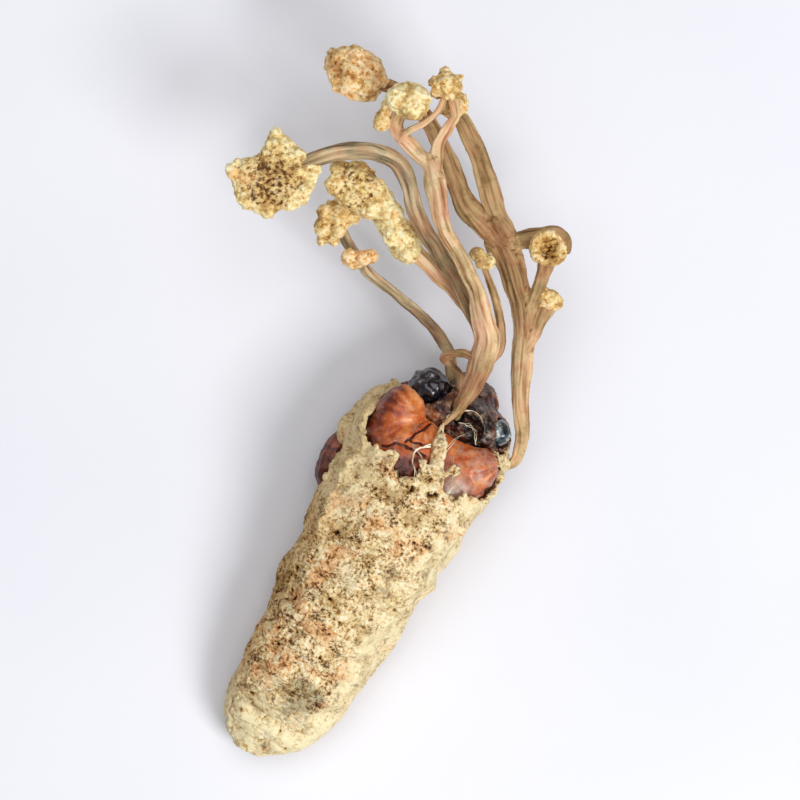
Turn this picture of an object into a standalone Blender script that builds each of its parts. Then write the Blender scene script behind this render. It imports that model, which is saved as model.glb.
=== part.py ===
"""Dried cicada flower: a cicada nymph in a felted fungus coat, with branched stalks and powdery spore heads.

Metres, +Z up. The nymph lies on its belly with its tail towards -Y and its head towards +Y. The origin is on
the flat of the belly that it rests on, under the middle of the body. Every length below is in millimetres: each
object's mesh is in millimetres too, and its scale of 0.001 makes it metres.
"""
import math

import bmesh
import bpy
from mathutils import Vector, noise

MM = 0.001
GAP = 0.25               # clearance between pieces that touch
SHARP = math.radians(50) # edges folded more than this are shaded sharp
SEGMENT = 2.4            # length of one abdomen segment
COAT_SIDES = 21          # facets round the coat
COAT_LUMP = 0.42         # height of the coat's soft lumps
COAT_LUMP_SIZE = 2.4     # distance from one lump to the next; lumps half as high are half as far apart
COAT_CREASE = 0.34       # depth of the creases between segments
CREASE_SHARE = 0.4       # how much of a segment's length its crease takes
CREASES_END = 1.0        # the creases are behind this y; the chest in front has none
WING_PAD = 0.85          # how far the wing pads stand out under the coat
WING_PAD_FRONT = 8.0     # the y where a wing pad starts, and where its tip ends
WING_PAD_TIP = -2.5
WING_PAD_LIFT = 0.5      # how far a pad is up the side, and its half width, in radians round the body
WING_PAD_HALF = 0.34
LEG_RIDGE = 0.75         # how far the wrapped legs stand out under the coat
LEG_RIDGE_WIDTH = 0.7
BELLY_LIFT = 0.1         # the belly is below this angle round the body, in radians
BELLY_MIDDLE = -0.9      # the x of the belly's middle line
BOXINESS = 0.88          # power of sine and cosine round the body: 1 is an ellipse, less is squarer
PLATE_MIDDLE = 0.3       # the shell plate's middle line, in x
PLATE_GROOVE = 0.45      # depth of its groove down the middle
PLATE_GROOVE_HALF = 0.9  # half width of that groove
PLATE_BAND = 9.9         # the y of the groove before its hind band
PLATE_BAND_GROOVE = 0.35 # depth and half width of that groove
PLATE_BAND_CURVE = 0.12  # how much further forward the groove is for each mm out from the middle

# The coat along the body: y, left edge, right edge, top, bottom. Anything below z = 0 is the flat belly.
COAT_STATIONS = [
    (-17.8, -2.9, -0.9, 3.2, 1.7),
    (-16.9, -4.3, 0.8, 4.5, 0.8),
    (-14.8, -5.4, 2.7, 5.9, 0.2),
    (-12.0, -5.9, 3.6, 7.4, -0.2),
    (-8.2, -6.2, 4.0, 8.9, -0.5),
    (-4.5, -6.1, 3.9, 9.9, -0.6),
    (0.0, -6.2, 4.0, 11.0, -0.6),
    (4.5, -6.6, 4.5, 11.9, -0.6),
    (8.5, -7.1, 5.4, 12.0, -0.5),
    (11.0, -7.6, 5.6, 11.0, 0.1),
    (13.2, -7.1, 5.3, 8.7, 1.6),
    (14.4, -6.2, 4.4, 6.8, 2.8),
]

# The middle and hind legs lie wrapped along the belly's right side, and mirrored on its left: how far each point
# is from the belly's middle line, and its y.
WRAPPED_LEGS = [
    [(2.6, 7.6), (4.9, 5.6), (5.6, 2.6), (4.4, -0.6)],
    [(2.4, 4.6), (3.9, 1.8), (5.0, -2.2), (4.2, -6.8), (2.8, -8.6)],
]

# The shell plate behind the head, in the same form.
PRONOTUM_STATIONS = [
    (7.0, -4.2, 3.3, 10.1, 5.4),
    (7.8, -5.3, 4.2, 10.8, 4.7),
    (9.0, -6.0, 4.6, 11.0, 4.4),
    (10.2, -6.5, 5.0, 11.0, 4.1),
    (11.6, -6.3, 4.9, 10.5, 4.1),
    (12.7, -5.3, 4.4, 9.6, 4.6),
    (13.4, -4.2, 3.6, 8.6, 5.4),
]

# Ellipsoids: centre and radii.
DOME_LEFT = ((-4.1, 12.3, 8.2), (2.2, 2.7, 1.95))
DOME_RIGHT = ((3.2, 11.4, 8.4), (1.95, 2.0, 1.6))
HEAD_CAPSULE = ((0.1, 14.4, 6.3), (4.7, 2.3, 3.4))
FACE = ((0.1, 16.2, 4.7), (2.5, 1.9, 2.7))
HEAD_HOLLOW = ((1.0, 13.9, 9.3), (1.5, 1.4, 1.8))
EYE_LEFT = ((-3.2, 15.3, 7.5), (1.8, 1.6, 1.7))
EYE_RIGHT = ((3.35, 14.8, 7.2), (1.2, 1.1, 1.15))
WINDOW_LEFT = ((-3.9, 11.3, 9.9), (3.3, 2.7, 2.6))
WINDOW_RIGHT = ((3.8, 11.6, 9.4), (2.7, 2.7, 2.7))
WINDOW_PIT = ((-1.8, 8.9, 11.9), (1.5, 1.3, 1.6))
WINDOW_FOOT = ((2.4, 9.4, 11.6), (1.3, 1.4, 1.7))
FLOWER = ((-22.1, 23.5, 14.3), (1.0, 1.0, 0.35))

# The flower's ruffled outline: its radius at equal angles from +X round towards +Y.
FLOWER_OUTLINE = [3.2, 3.3, 3.7, 3.9, 3.5, 3.5, 3.9, 3.4, 2.4, 2.5, 3.5, 3.7, 3.3, 3.2, 3.2, 2.9, 3.0, 2.5, 2.4, 2.8]


def smooth(values, t):
    """The value at t, 0 to len - 1, on a smooth curve through the listed values."""
    last = len(values) - 1
    i = min(int(t), last - 1)
    f = t - i
    a, b, c, d = (values[min(max(i + n, 0), last)] for n in (-1, 0, 1, 2))
    return b + 0.5 * f * (c - a + f * (2 * a - 5 * b + 4 * c - d + f * (3 * (b - c) + d - a)))


def place_along(stations, y):
    """How far along the stations y lies, as a number that smooth takes."""
    for i in range(len(stations) - 1):
        if y <= stations[i + 1][0]:
            return i + (y - stations[i][0]) / (stations[i + 1][0] - stations[i][0])
    return len(stations) - 1.0


def material(name, rgb, roughness):
    """A plain material of one colour."""
    made = bpy.data.materials.new(name)
    made.use_nodes = True
    shader = made.node_tree.nodes["Principled BSDF"]
    shader.inputs["Base Color"].default_value = (*rgb, 1.0)
    shader.inputs["Roughness"].default_value = roughness
    shader.inputs["Metallic"].default_value = 0.0
    return made


def add(name, mesh_edit, look=None):
    """An object from an edited mesh in millimetres; with no look it is a hidden cutter."""
    bmesh.ops.recalc_face_normals(mesh_edit, faces=mesh_edit.faces)
    mesh = bpy.data.meshes.new(name)
    mesh_edit.to_mesh(mesh)
    mesh_edit.free()
    made = bpy.data.objects.new(name, mesh)
    made.scale = (MM, MM, MM)
    bpy.context.collection.objects.link(made)
    mesh.shade_smooth()
    mesh.set_sharp_from_angle(angle=SHARP)
    if look:
        mesh.materials.append(look)
    else:
        made.hide_render = True
        made.display_type = "WIRE"
    return made


def boolean(target, tool, operation):
    """Joins a tool to an object, or cuts it out; EXACT leaves these lumpy shapes open."""
    step = target.modifiers.new(tool.name, "BOOLEAN")
    step.operation = operation
    step.object = tool
    step.solver = "MANIFOLD"


def rings_to_mesh(rings):
    """A closed tube through rings of points, with a flat face at each end."""
    edit = bmesh.new()
    rows = [[edit.verts.new(point) for point in ring] for ring in rings]
    count = len(rows[0])
    for low, high in zip(rows, rows[1:]):
        for i in range(count):
            j = (i + 1) % count
            edit.faces.new((low[i], low[j], high[j], high[i]))
    edit.faces.new(rows[0])
    edit.faces.new(rows[-1])
    return edit


def body_rings(stations, step, sides, relief, grow=0.0):
    """Rings round the body from its stations; relief gives how far a point stands out."""
    first = stations[0][0] - grow
    last = stations[-1][0] + grow
    count = max(3, round((last - first) / step))
    rings = []
    for k in range(count + 1):
        y = first + (last - first) * k / count
        t = place_along(stations, min(max(y, stations[0][0]), stations[-1][0]))
        left, right, top, bottom = (smooth([row[n] for row in stations], t) for n in range(1, 5))
        middle = Vector(((left + right) / 2, y, (top + bottom) / 2))
        half_wide = (right - left) / 2 + grow
        half_high = (top - bottom) / 2 + grow
        ring = []
        for n in range(sides):
            turn = 2 * math.pi * n / sides
            c = math.copysign(abs(math.cos(turn)) ** BOXINESS, math.cos(turn))
            s = math.copysign(abs(math.sin(turn)) ** BOXINESS, math.sin(turn))
            point = middle + Vector((half_wide * c, 0, half_high * s))
            out = Vector((math.cos(turn), 0, math.sin(turn)))
            ring.append(point + out * relief(point, turn))
        rings.append(ring)
    return rings


def coat_relief(point, turn):
    """The coat's creases between segments, wing pads, wrapped legs and soft lumps."""
    up = math.sin(turn)
    at = point / COAT_LUMP_SIZE
    out = COAT_LUMP * (noise.noise(at) + 0.5 * noise.noise(at * 2.1))
    from_middle = abs((point.y / SEGMENT) % 1.0 - 0.5) * 2
    if point.y < CREASES_END and from_middle > 1 - CREASE_SHARE:
        out -= COAT_CREASE * max(up + 0.4, 0)
    lift = math.atan2(up, abs(math.cos(turn)))
    behind_front = 1 / (1 + math.exp(1.3 * (point.y - WING_PAD_FRONT)))
    before_tip = 1 / (1 + math.exp(1.8 * (WING_PAD_TIP - point.y)))
    off_pad = lift - WING_PAD_LIFT - 0.03 * point.y
    out += WING_PAD * behind_front * before_tip * math.exp(-(off_pad / WING_PAD_HALF) ** 4)
    if lift < BELLY_LIFT:
        out += LEG_RIDGE * math.exp(-(distance_to_legs(point) / LEG_RIDGE_WIDTH) ** 2)
    return out


def distance_to_legs(point):
    """How far a point of the belly is from the nearest wrapped leg, seen from below."""
    here = Vector((abs(point.x - BELLY_MIDDLE), point.y))
    distances = []
    for leg in WRAPPED_LEGS:
        for start, end in zip(leg, leg[1:]):
            a = Vector(start)
            along = Vector(end) - a
            share = min(max((here - a).dot(along) / along.length_squared, 0), 1)
            distances.append((here - a - along * share).length)
    return min(distances)


def pronotum_relief(point, turn):
    """The plate's groove down the middle, and the groove before its hind band."""
    if math.sin(turn) < 0:
        return 0.0
    middle = PLATE_GROOVE * math.exp(-((point.x - PLATE_MIDDLE) / PLATE_GROOVE_HALF) ** 2)
    hind_line = PLATE_BAND + PLATE_BAND_CURVE * abs(point.x)
    band = PLATE_BAND_GROOVE * math.exp(-((point.y - hind_line) / PLATE_BAND_GROOVE) ** 2)
    return -middle - band


def add_pronotum(name, look=None, grow=0.0):
    """The shell plate's ring behind the head, or its cutter."""
    relief = pronotum_relief if look else (lambda point, turn: 0.0)
    return add(name, rings_to_mesh(body_rings(PRONOTUM_STATIONS, 0.7, 18, relief, grow)), look)


def add_ellipsoid(name, ellipsoid, facets, look=None, grow=0.0, bump=None):
    """An ellipsoid of so many facets round and high; bump scales a direction's radius."""
    centre, radii = ellipsoid
    edit = bmesh.new()
    bmesh.ops.create_uvsphere(edit, u_segments=facets[0], v_segments=facets[1], radius=1.0)
    for vert in edit.verts:
        scale = bump(vert.co) if bump else 1.0
        size = Vector([radius * scale + grow for radius in radii])
        vert.co = vert.co * size + Vector(centre)
    return add(name, edit, look)


def sweep_rings(route, half_wide, half_thick, step, sides=8, ribs=3, rib_depth=0.0, grow=0.0, lump=0.0):
    """Rings along a smooth route, flat side up, with ribs and lumps."""
    places = [Vector(point) for point in route]
    length = sum((b - a).length for a, b in zip(places, places[1:]))
    count = max(3, round(length / step))
    last = len(places) - 1
    points = []
    for k in range(count + 1):
        t = last * k / count
        points.append(Vector(smooth([place[n] for place in places], t) for n in range(3)))
    tangents = []
    for k in range(count + 1):
        ahead = points[min(k + 1, count)] - points[max(k - 1, 0)]
        tangents.append(ahead.normalized())
    points[0] -= tangents[0] * grow
    points[-1] += tangents[-1] * grow
    side = tangents[0].cross(Vector((0, 0, 1)))
    if side.length < 0.2:
        side = Vector((1, 0, 0))
    rings = []
    for k in range(count + 1):
        share = k / count
        side = (side - tangents[k] * side.dot(tangents[k])).normalized()
        up = side.cross(tangents[k])
        wide = smooth(half_wide, share * (len(half_wide) - 1))
        thick = smooth(half_thick, share * (len(half_thick) - 1))
        ring = []
        for n in range(sides):
            turn = 2 * math.pi * n / sides
            ribbed = 1 + rib_depth * math.cos(ribs * turn + 5 * share)
            if lump:
                ribbed += lump * noise.noise(points[k] * 0.8 + Vector((turn, 0, 0)))
            flat = side * math.cos(turn) * (wide * ribbed + grow)
            deep = up * math.sin(turn) * (thick * ribbed + grow)
            ring.append(points[k] + flat + deep)
        rings.append(ring)
    return rings


SWEEPS = {}              # what each sweep was made from, for its socket


def add_sweep(name, look, route, half_wide, half_thick, step=1.0, **form):
    """A stalk, leg or beak along its route."""
    SWEEPS[name] = (route, half_wide, half_thick, step, form)
    return add(name, rings_to_mesh(sweep_rings(route, half_wide, half_thick, step, **form)), look)


def socket_of(name):
    """The hidden, fatter copy of a sweep that cuts its socket."""
    made = bpy.data.objects.get(name + "_socket")
    if made is None:
        route, half_wide, half_thick, step, form = SWEEPS[name]
        rings = sweep_rings(route, half_wide, half_thick, step, grow=GAP, **form)
        made = add(name + "_socket", rings_to_mesh(rings))
    return made


def powder_bump(seed, height):
    """A lumpy surface for a spore head, different for each seed."""
    def bump(direction):
        at = direction * 2.2 + Vector((seed * 3.7, seed * 1.3, seed * 2.1))
        return 1 + height * noise.noise(at) + 0.5 * height * noise.noise(at * 2.1)
    return bump


def cup_bump(direction):
    """A round cup, dented on top and a little lumpy."""
    dent = 0.6 * max(direction.z, 0) ** 4
    return 1 - dent + 0.12 * noise.noise(direction * 2.4)


def flower_bump(direction):
    """The flower's ruffled outline, and its hollow middle."""
    count = len(FLOWER_OUTLINE)
    around = math.atan2(direction.y, direction.x) / (2 * math.pi)
    middle = sum(FLOWER_OUTLINE) / count
    flat = math.hypot(direction.x, direction.y)
    radius = middle + (FLOWER_OUTLINE[round(around * count) % count] - middle) * flat
    dent = 0.5 * max(direction.z, 0) ** 4
    return radius * (1 - dent) * (1 + 0.12 * noise.noise(direction * 2.6))


def add_balls(name, look, balls, facets=(6, 4)):
    """A cluster of small round knobs grown together, each a centre and a radius."""
    whole = None
    for k, (centre, radius) in enumerate(balls):
        ellipsoid = (centre, (radius, radius, radius * 0.9))
        bump = powder_bump(k + len(name), 0.25)
        if whole is None:
            whole = add_ellipsoid(name, ellipsoid, facets, look, bump=bump)
        else:
            boolean(whole, add_ellipsoid(f"{name}_knob_{k}", ellipsoid, facets, bump=bump), "UNION")


for old in list(bpy.data.objects):
    bpy.data.objects.remove(old, do_unlink=True)

COAT_LOOK = material("felted mycelium, cream", (0.62, 0.50, 0.26), 0.92)
SHELL_LOOK = material("nymph shell, red brown", (0.30, 0.07, 0.02), 0.35)
DARK_SHELL_LOOK = material("nymph shell, dark brown", (0.10, 0.04, 0.02), 0.45)
EYE_LOOK = material("eye, blue black", (0.02, 0.03, 0.04), 0.2)
STALK_LOOK = material("dried stalk, tan", (0.38, 0.24, 0.12), 0.75)
GREY_STALK_LOOK = material("dried stalk, olive grey", (0.28, 0.23, 0.14), 0.8)
RIBBON_LOOK = material("dried stalk, brown", (0.27, 0.17, 0.09), 0.78)
POWDER_LOOK = material("spore powder, pale cream", (0.72, 0.57, 0.27), 0.95)

# The coat, flat under the belly.
coat_rings = body_rings(COAT_STATIONS, SEGMENT / 2, COAT_SIDES, coat_relief)
for ring in coat_rings:
    for point in ring:
        point.z = max(point.z, 0.0)
add("mycelium_coat", rings_to_mesh(coat_rings), COAT_LOOK)

# The shell plate with its two domes, the head, eyes, beak and digging legs.
pronotum = add_pronotum("pronotum", SHELL_LOOK)
boolean(pronotum, add_ellipsoid("dome_left", DOME_LEFT, (12, 7)), "UNION")
boolean(pronotum, add_ellipsoid("dome_right", DOME_RIGHT, (10, 7)), "UNION")
head = add_ellipsoid("head", HEAD_CAPSULE, (14, 8), DARK_SHELL_LOOK)
boolean(head, add_ellipsoid("head_face", FACE, (10, 7)), "UNION")
boolean(head, add_ellipsoid("head_hollow", HEAD_HOLLOW, (8, 5)), "DIFFERENCE")
add_ellipsoid("eye_left", EYE_LEFT, (11, 7), EYE_LOOK, bump=powder_bump(3, 0.08))
add_ellipsoid("eye_right", EYE_RIGHT, (10, 6), EYE_LOOK, bump=powder_bump(4, 0.05))
add_sweep(
    "beak", DARK_SHELL_LOOK,
    [(0.1, 16.9, 3.2), (0.1, 16.6, 1.8), (0.1, 15.4, 1.05), (0.1, 13.6, 0.85), (0.1, 11.9, 0.8)],
    [0.5, 0.45, 0.3], [0.5, 0.4, 0.3], sides=7)
add_sweep(
    "foreleg_left", SHELL_LOOK,
    [(-6.2, 4.0, 2.9), (-7.0, 5.2, 3.3), (-7.4, 6.9, 3.5), (-7.2, 9.0, 3.1), (-6.7, 11.2, 2.5),
     (-5.8, 13.4, 1.9), (-4.4, 15.2, 1.4)],
    [0.7, 1.0, 1.1, 0.9, 0.6, 0.7, 0.5, 0.2], [0.75, 0.95, 1.0, 0.8, 0.55, 0.6, 0.4, 0.16])
add_sweep(
    "foreleg_right", SHELL_LOOK,
    [(3.9, 9.4, 2.2), (4.4, 11.4, 2.4), (4.5, 13.2, 2.2), (3.9, 14.7, 1.7), (2.8, 15.7, 1.2)],
    [0.95, 0.95, 0.6, 0.7, 0.45, 0.2], [0.85, 0.85, 0.55, 0.6, 0.36, 0.16])

# The main stalk, out of the hollow between the eyes, and what it forks into.
add_sweep(
    "stalk_main", STALK_LOOK,
    [(-0.2, 14.4, 7.6), (-0.35, 15.1, 9.4), (-0.35, 16.4, 11.0), (-0.4, 17.8, 12.1), (-0.7, 19.3, 13.0),
     (-1.15, 20.9, 13.9)],
    [0.42, 0.5, 0.7, 0.95, 1.05, 1.0], [0.4, 0.5, 0.6, 0.6, 0.6, 0.6], ribs=3, rib_depth=0.12)
add_sweep(
    "stalk_main_upper", STALK_LOOK,
    [(-1.35, 21.25, 14.1), (-2.2, 22.2, 14.5), (-3.2, 23.3, 14.8), (-4.5, 24.4, 15.1), (-5.9, 25.3, 15.3),
     (-7.3, 26.1, 15.4), (-8.7, 27.1, 15.5), (-9.8, 28.4, 15.4), (-10.8, 29.7, 15.1), (-11.7, 30.8, 14.9)],
    [0.85, 0.7, 0.68, 0.72, 0.8, 0.95], [0.5, 0.48, 0.45, 0.4, 0.4], ribs=3, rib_depth=0.1)
add_sweep(
    "branch_left", STALK_LOOK,
    [(-12.3, 30.9, 14.8), (-13.5, 31.2, 14.7), (-14.9, 31.6, 14.8), (-15.8, 32.3, 15.0), (-15.7, 33.6, 15.3)],
    [0.5, 0.6, 0.55, 0.45], [0.38, 0.35, 0.32, 0.32], step=0.8, rib_depth=0.1)
add_sweep(
    "branch_right", STALK_LOOK,
    [(-11.7, 31.5, 14.8), (-12.1, 32.8, 14.5), (-12.0, 34.1, 14.3), (-12.1, 35.2, 14.4), (-12.9, 36.1, 14.7)],
    [0.42, 0.45, 0.4, 0.38], [0.35, 0.33, 0.3, 0.3], step=0.8, rib_depth=0.1)
add_sweep(
    "branch_loop", STALK_LOOK,
    [(-14.8, 31.7, 15.0), (-14.4, 32.5, 15.7), (-13.7, 33.5, 15.8), (-13.3, 34.7, 15.5), (-13.5, 35.8, 15.2)],
    [0.3, 0.26, 0.28], [0.26, 0.24, 0.26], step=0.7, sides=7)
add_sweep(
    "stalk_grey", GREY_STALK_LOOK,
    [(-1.3, 20.5, 13.2), (-2.4, 21.6, 13.2), (-3.9, 22.7, 13.3), (-5.8, 24.0, 13.5), (-8.0, 25.1, 13.7),
     (-9.9, 26.2, 13.9), (-11.4, 27.4, 14.2), (-12.8, 28.8, 14.5), (-14.4, 29.6, 14.7), (-15.9, 29.5, 14.9),
     (-17.8, 28.6, 14.9), (-19.5, 27.3, 14.7), (-21.0, 25.6, 14.3)],
    [0.6, 0.6, 0.55, 0.55, 0.7, 0.75, 0.7], [0.42, 0.42, 0.38, 0.38, 0.4, 0.42],
    step=1.25, ribs=2, rib_depth=0.1)
add_sweep(
    "stalk_inner", GREY_STALK_LOOK,
    [(-0.9, 20.4, 12.6), (-2.2, 21.5, 11.9), (-3.8, 22.4, 11.4), (-5.6, 23.1, 11.2), (-7.4, 23.6, 11.2),
     (-9.3, 24.2, 11.3)],
    [0.45, 0.45, 0.48, 0.55, 0.7], [0.35, 0.35, 0.38, 0.4, 0.5], rib_depth=0.1)
add_sweep(
    "stalk_back", GREY_STALK_LOOK,
    [(-1.6, 16.2, 5.2), (-2.9, 18.2, 5.6), (-5.4, 19.7, 6.2), (-8.6, 20.4, 7.0), (-11.8, 21.0, 7.8),
     (-14.4, 22.2, 8.7), (-16.0, 23.2, 9.5)],
    [0.5, 0.5, 0.42, 0.4, 0.45], [0.42, 0.4, 0.36, 0.34, 0.36], step=1.25, rib_depth=0.1)
add_sweep(
    "stub_curl", STALK_LOOK,
    [(-0.8, 16.2, 7.0), (-1.4, 17.2, 8.3), (-2.5, 17.7, 9.4), (-3.2, 17.9, 10.5), (-3.1, 18.5, 11.6),
     (-2.2, 19.0, 12.3), (-1.3, 19.1, 12.6)],
    [0.4, 0.38, 0.4, 0.42], [0.36, 0.32, 0.32, 0.34], sides=7, step=0.8)
add_sweep(
    "twig_knobs", STALK_LOOK,
    [(0.1, 19.4, 12.7), (0.2, 21.0, 12.1), (-1.3, 23.2, 11.9), (-3.0, 24.8, 12.3), (-4.0, 25.7, 12.8)],
    [0.34, 0.34, 0.28], [0.3, 0.3, 0.26], sides=7, step=0.9)

# The flat ribbed stalk on the right, and what it forks into.
add_sweep(
    "stalk_ribbon", RIBBON_LOOK,
    [(5.1, 12.6, 4.3), (5.6, 13.4, 4.9), (5.6, 14.4, 5.5), (5.0, 16.0, 6.5), (3.6, 18.1, 7.9),
     (2.2, 20.9, 9.1), (1.1, 23.3, 9.9), (-0.3, 25.1, 10.4), (-1.8, 26.6, 10.9), (-3.1, 27.7, 11.2),
     (-4.5, 28.6, 11.4)],
    [0.35, 0.5, 0.62, 0.78, 0.9, 1.05, 1.2, 1.6], [0.35, 0.42, 0.5, 0.52, 0.5, 0.5, 0.5],
    step=1.15, sides=10, ribs=4, rib_depth=0.1)
add_sweep(
    "ribbon_left", RIBBON_LOOK,
    [(-5.6, 28.6, 11.4), (-7.0, 29.1, 11.3), (-8.4, 29.9, 11.2), (-10.0, 31.2, 11.0), (-12.0, 32.8, 10.9),
     (-14.3, 34.2, 11.2), (-16.8, 34.8, 11.6), (-19.2, 34.5, 12.0)],
    [0.75, 0.92, 0.85, 0.7, 0.6, 0.6], [0.45, 0.45, 0.42, 0.4, 0.4, 0.42], step=1.15, ribs=3, rib_depth=0.1)
add_sweep(
    "ribbon_right", RIBBON_LOOK,
    [(-4.9, 29.9, 11.5), (-6.1, 30.9, 11.7), (-7.4, 32.1, 12.0), (-8.7, 33.3, 12.2), (-10.1, 34.3, 12.5),
     (-11.5, 35.1, 12.9)],
    [0.7, 0.85, 0.75, 0.6], [0.45, 0.42, 0.4, 0.38], ribs=3, rib_depth=0.1)
add_sweep(
    "twig_cup", RIBBON_LOOK,
    [(-0.8, 25.2, 10.6), (0.15, 25.9, 11.4), (0.4, 26.8, 11.9), (0.2, 27.8, 12.1), (-0.1, 28.8, 12.3)],
    [0.4, 0.45, 0.5, 0.7], [0.36, 0.38, 0.4, 0.5], step=0.8)
add_sweep(
    "twig_lump", RIBBON_LOOK,
    [(1.1, 23.2, 10.0), (1.8, 23.9, 10.5), (2.0, 24.6, 10.8), (1.9, 25.3, 10.9)],
    [0.32, 0.34, 0.45], [0.3, 0.32, 0.36], sides=7, step=0.7)

# The spore heads, each grown round the end of its stalk. The flower is a flat ruffled plate.
add_ellipsoid("spore_flower", FLOWER, (20, 7), POWDER_LOOK, bump=flower_bump)
add("spore_long", rings_to_mesh(sweep_rings(
    [(-8.9, 23.8, 11.3), (-10.0, 24.2, 11.4), (-11.8, 25.1, 11.4), (-14.0, 26.2, 11.5), (-16.2, 26.6, 11.6),
     (-18.2, 26.4, 11.6)],
    [0.6, 1.0, 1.25, 1.35, 1.2, 1.0, 1.35, 1.65, 1.75, 1.45, 0.7], [0.6, 1.0, 1.1, 1.1, 1.1, 0.6], 0.8,
    sides=10, lump=0.5)), POWDER_LOOK)
add_balls("spore_cluster", POWDER_LOOK, [
    ((-16.0, 23.2, 10.0), 1.05), ((-16.9, 24.0, 9.9), 0.85), ((-17.0, 22.5, 9.9), 0.85),
    ((-16.0, 22.2, 10.0), 0.7), ((-15.3, 24.3, 9.9), 0.8), ((-16.5, 21.4, 9.7), 0.55)])
add_balls("spore_pink_cups", POWDER_LOOK, [
    ((-13.2, 21.5, 9.3), 0.9), ((-12.5, 22.2, 9.3), 0.75), ((-14.0, 21.2, 9.4), 0.7)])
add_balls("spore_knobs", POWDER_LOOK, [((-4.2, 26.2, 12.9), 0.85), ((-5.2, 26.4, 13.0), 0.65)])
add_ellipsoid("spore_cup", ((-0.4, 29.6, 12.4), (1.65, 1.6, 1.1)), (12, 8), POWDER_LOOK, bump=cup_bump)

# The round heads: centre, radii, facets round and high, then the seed and height of the lumps.
ROUND_HEADS = {
    "spore_clump": ((-15.8, 34.3, 16.0), (1.7, 1.45, 1.25), (12, 7), 1, 0.45),
    "spore_flap": ((-16.9, 32.2, 14.9), (0.65, 1.25, 0.7), (8, 6), 2, 0.3),
    "spore_tuft": ((-13.8, 36.7, 15.3), (1.3, 1.35, 1.15), (12, 7), 5, 0.5),
    "spore_outer": ((-20.6, 34.4, 12.4), (2.6, 1.9, 1.5), (15, 7), 6, 0.5),
    "spore_ribbon": ((-12.4, 35.9, 12.9), (1.15, 1.15, 0.95), (10, 6), 7, 0.4),
    "spore_lump": ((1.85, 25.8, 10.9), (0.85, 1.0, 0.75), (9, 6), 9, 0.3),
}
for piece, (centre, radii, facets, seed, height) in ROUND_HEADS.items():
    add_ellipsoid(piece, (centre, radii), facets, POWDER_LOOK, bump=powder_bump(seed, height))

# Sockets: what each piece grows out of is cut round it. Those of the shell, head and eyes are ellipsoids.
add_pronotum("pronotum_socket", grow=1.4 * GAP)
add_ellipsoid("dome_left_socket", DOME_LEFT, (12, 7), grow=GAP)
add_ellipsoid("head_socket", HEAD_CAPSULE, (16, 8), grow=GAP)
add_ellipsoid("face_socket", FACE, (10, 7), grow=GAP)
add_ellipsoid("eye_left_socket", EYE_LEFT, (10, 6), grow=GAP)
add_ellipsoid("eye_right_socket", EYE_RIGHT, (10, 6), grow=GAP)
add_ellipsoid("window_left_socket", WINDOW_LEFT, (12, 7))
add_ellipsoid("window_right_socket", WINDOW_RIGHT, (12, 7))
add_ellipsoid("window_pit_socket", WINDOW_PIT, (9, 5))
add_ellipsoid("window_foot_socket", WINDOW_FOOT, (8, 5))
CUT_BY = {
    "mycelium_coat": ["pronotum", "dome_left", "head", "face", "window_left", "window_right", "window_pit",
                      "window_foot", "beak", "foreleg_left", "foreleg_right", "stalk_ribbon"],
    "pronotum": ["head", "eye_left"],
    "head": ["eye_left", "eye_right", "beak", "stalk_main", "stalk_ribbon", "stalk_back", "stub_curl"],
    "stalk_grey": ["stalk_main"],
    "stalk_inner": ["stalk_main"],
    "stub_curl": ["stalk_main"],
    "twig_knobs": ["stalk_main"],
    "branch_loop": ["branch_left"],
    "twig_cup": ["stalk_ribbon"],
    "twig_lump": ["stalk_ribbon"],
    "spore_flower": ["stalk_grey"],
    "spore_long": ["stalk_inner"],
    "spore_cluster": ["stalk_back"],
    "spore_pink_cups": ["stalk_back"],
    "spore_clump": ["branch_left"],
    "spore_flap": ["branch_left"],
    "spore_tuft": ["branch_right", "branch_loop"],
    "spore_outer": ["ribbon_left"],
    "spore_ribbon": ["ribbon_right"],
    "spore_cup": ["twig_cup"],
    "spore_lump": ["twig_lump"],
    "spore_knobs": ["twig_knobs"],
}
for piece, growths in CUT_BY.items():
    for growth in growths:
        boolean(bpy.data.objects[piece], socket_of(growth), "DIFFERENCE")
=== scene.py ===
import math
import random

import bmesh
import bpy
from mathutils import Matrix, Vector, kdtree, noise
from mathutils.bvhtree import BVHTree


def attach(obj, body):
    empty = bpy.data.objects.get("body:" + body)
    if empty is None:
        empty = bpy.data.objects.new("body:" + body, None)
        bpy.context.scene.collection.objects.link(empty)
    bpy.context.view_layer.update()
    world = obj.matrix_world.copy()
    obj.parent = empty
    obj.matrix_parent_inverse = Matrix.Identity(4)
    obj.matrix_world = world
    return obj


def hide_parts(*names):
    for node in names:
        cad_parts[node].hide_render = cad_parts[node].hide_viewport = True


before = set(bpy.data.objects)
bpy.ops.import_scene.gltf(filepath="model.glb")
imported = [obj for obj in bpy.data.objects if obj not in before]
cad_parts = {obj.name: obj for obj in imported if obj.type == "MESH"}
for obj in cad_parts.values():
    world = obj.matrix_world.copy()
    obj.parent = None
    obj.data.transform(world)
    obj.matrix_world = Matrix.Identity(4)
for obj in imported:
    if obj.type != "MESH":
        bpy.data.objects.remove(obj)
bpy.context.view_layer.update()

# The felted coat
# Fungus threads that felted round the nymph as they grew and dried hard, from the tail to a ragged collar
# behind its head, with a tuft that runs on over the crown to the stalk. It is cream, stained tan and brown.
# Painted shade darkens its pits, cracks, caves and belly, and a painted highlight lightens its right flank.
MM = 0.001  # pieces are modelled in mm, then brought to metres
COAT_POINTS = 0.128  # spacing of the coat's points
COAT_LUMPS = 0.14  # height of the soft lumps
COAT_WRINKLES = 0.13  # depth of the wrinkles across the back
COAT_GRAINS = 0.085  # height of the grains
COAT_CRACKS = 0.2  # depth of the cracks
COAT_PITS = 0.3  # depth of the pits
COLLAR_KNOBS = 0.33  # radius of the knobs along the ragged collar
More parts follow.
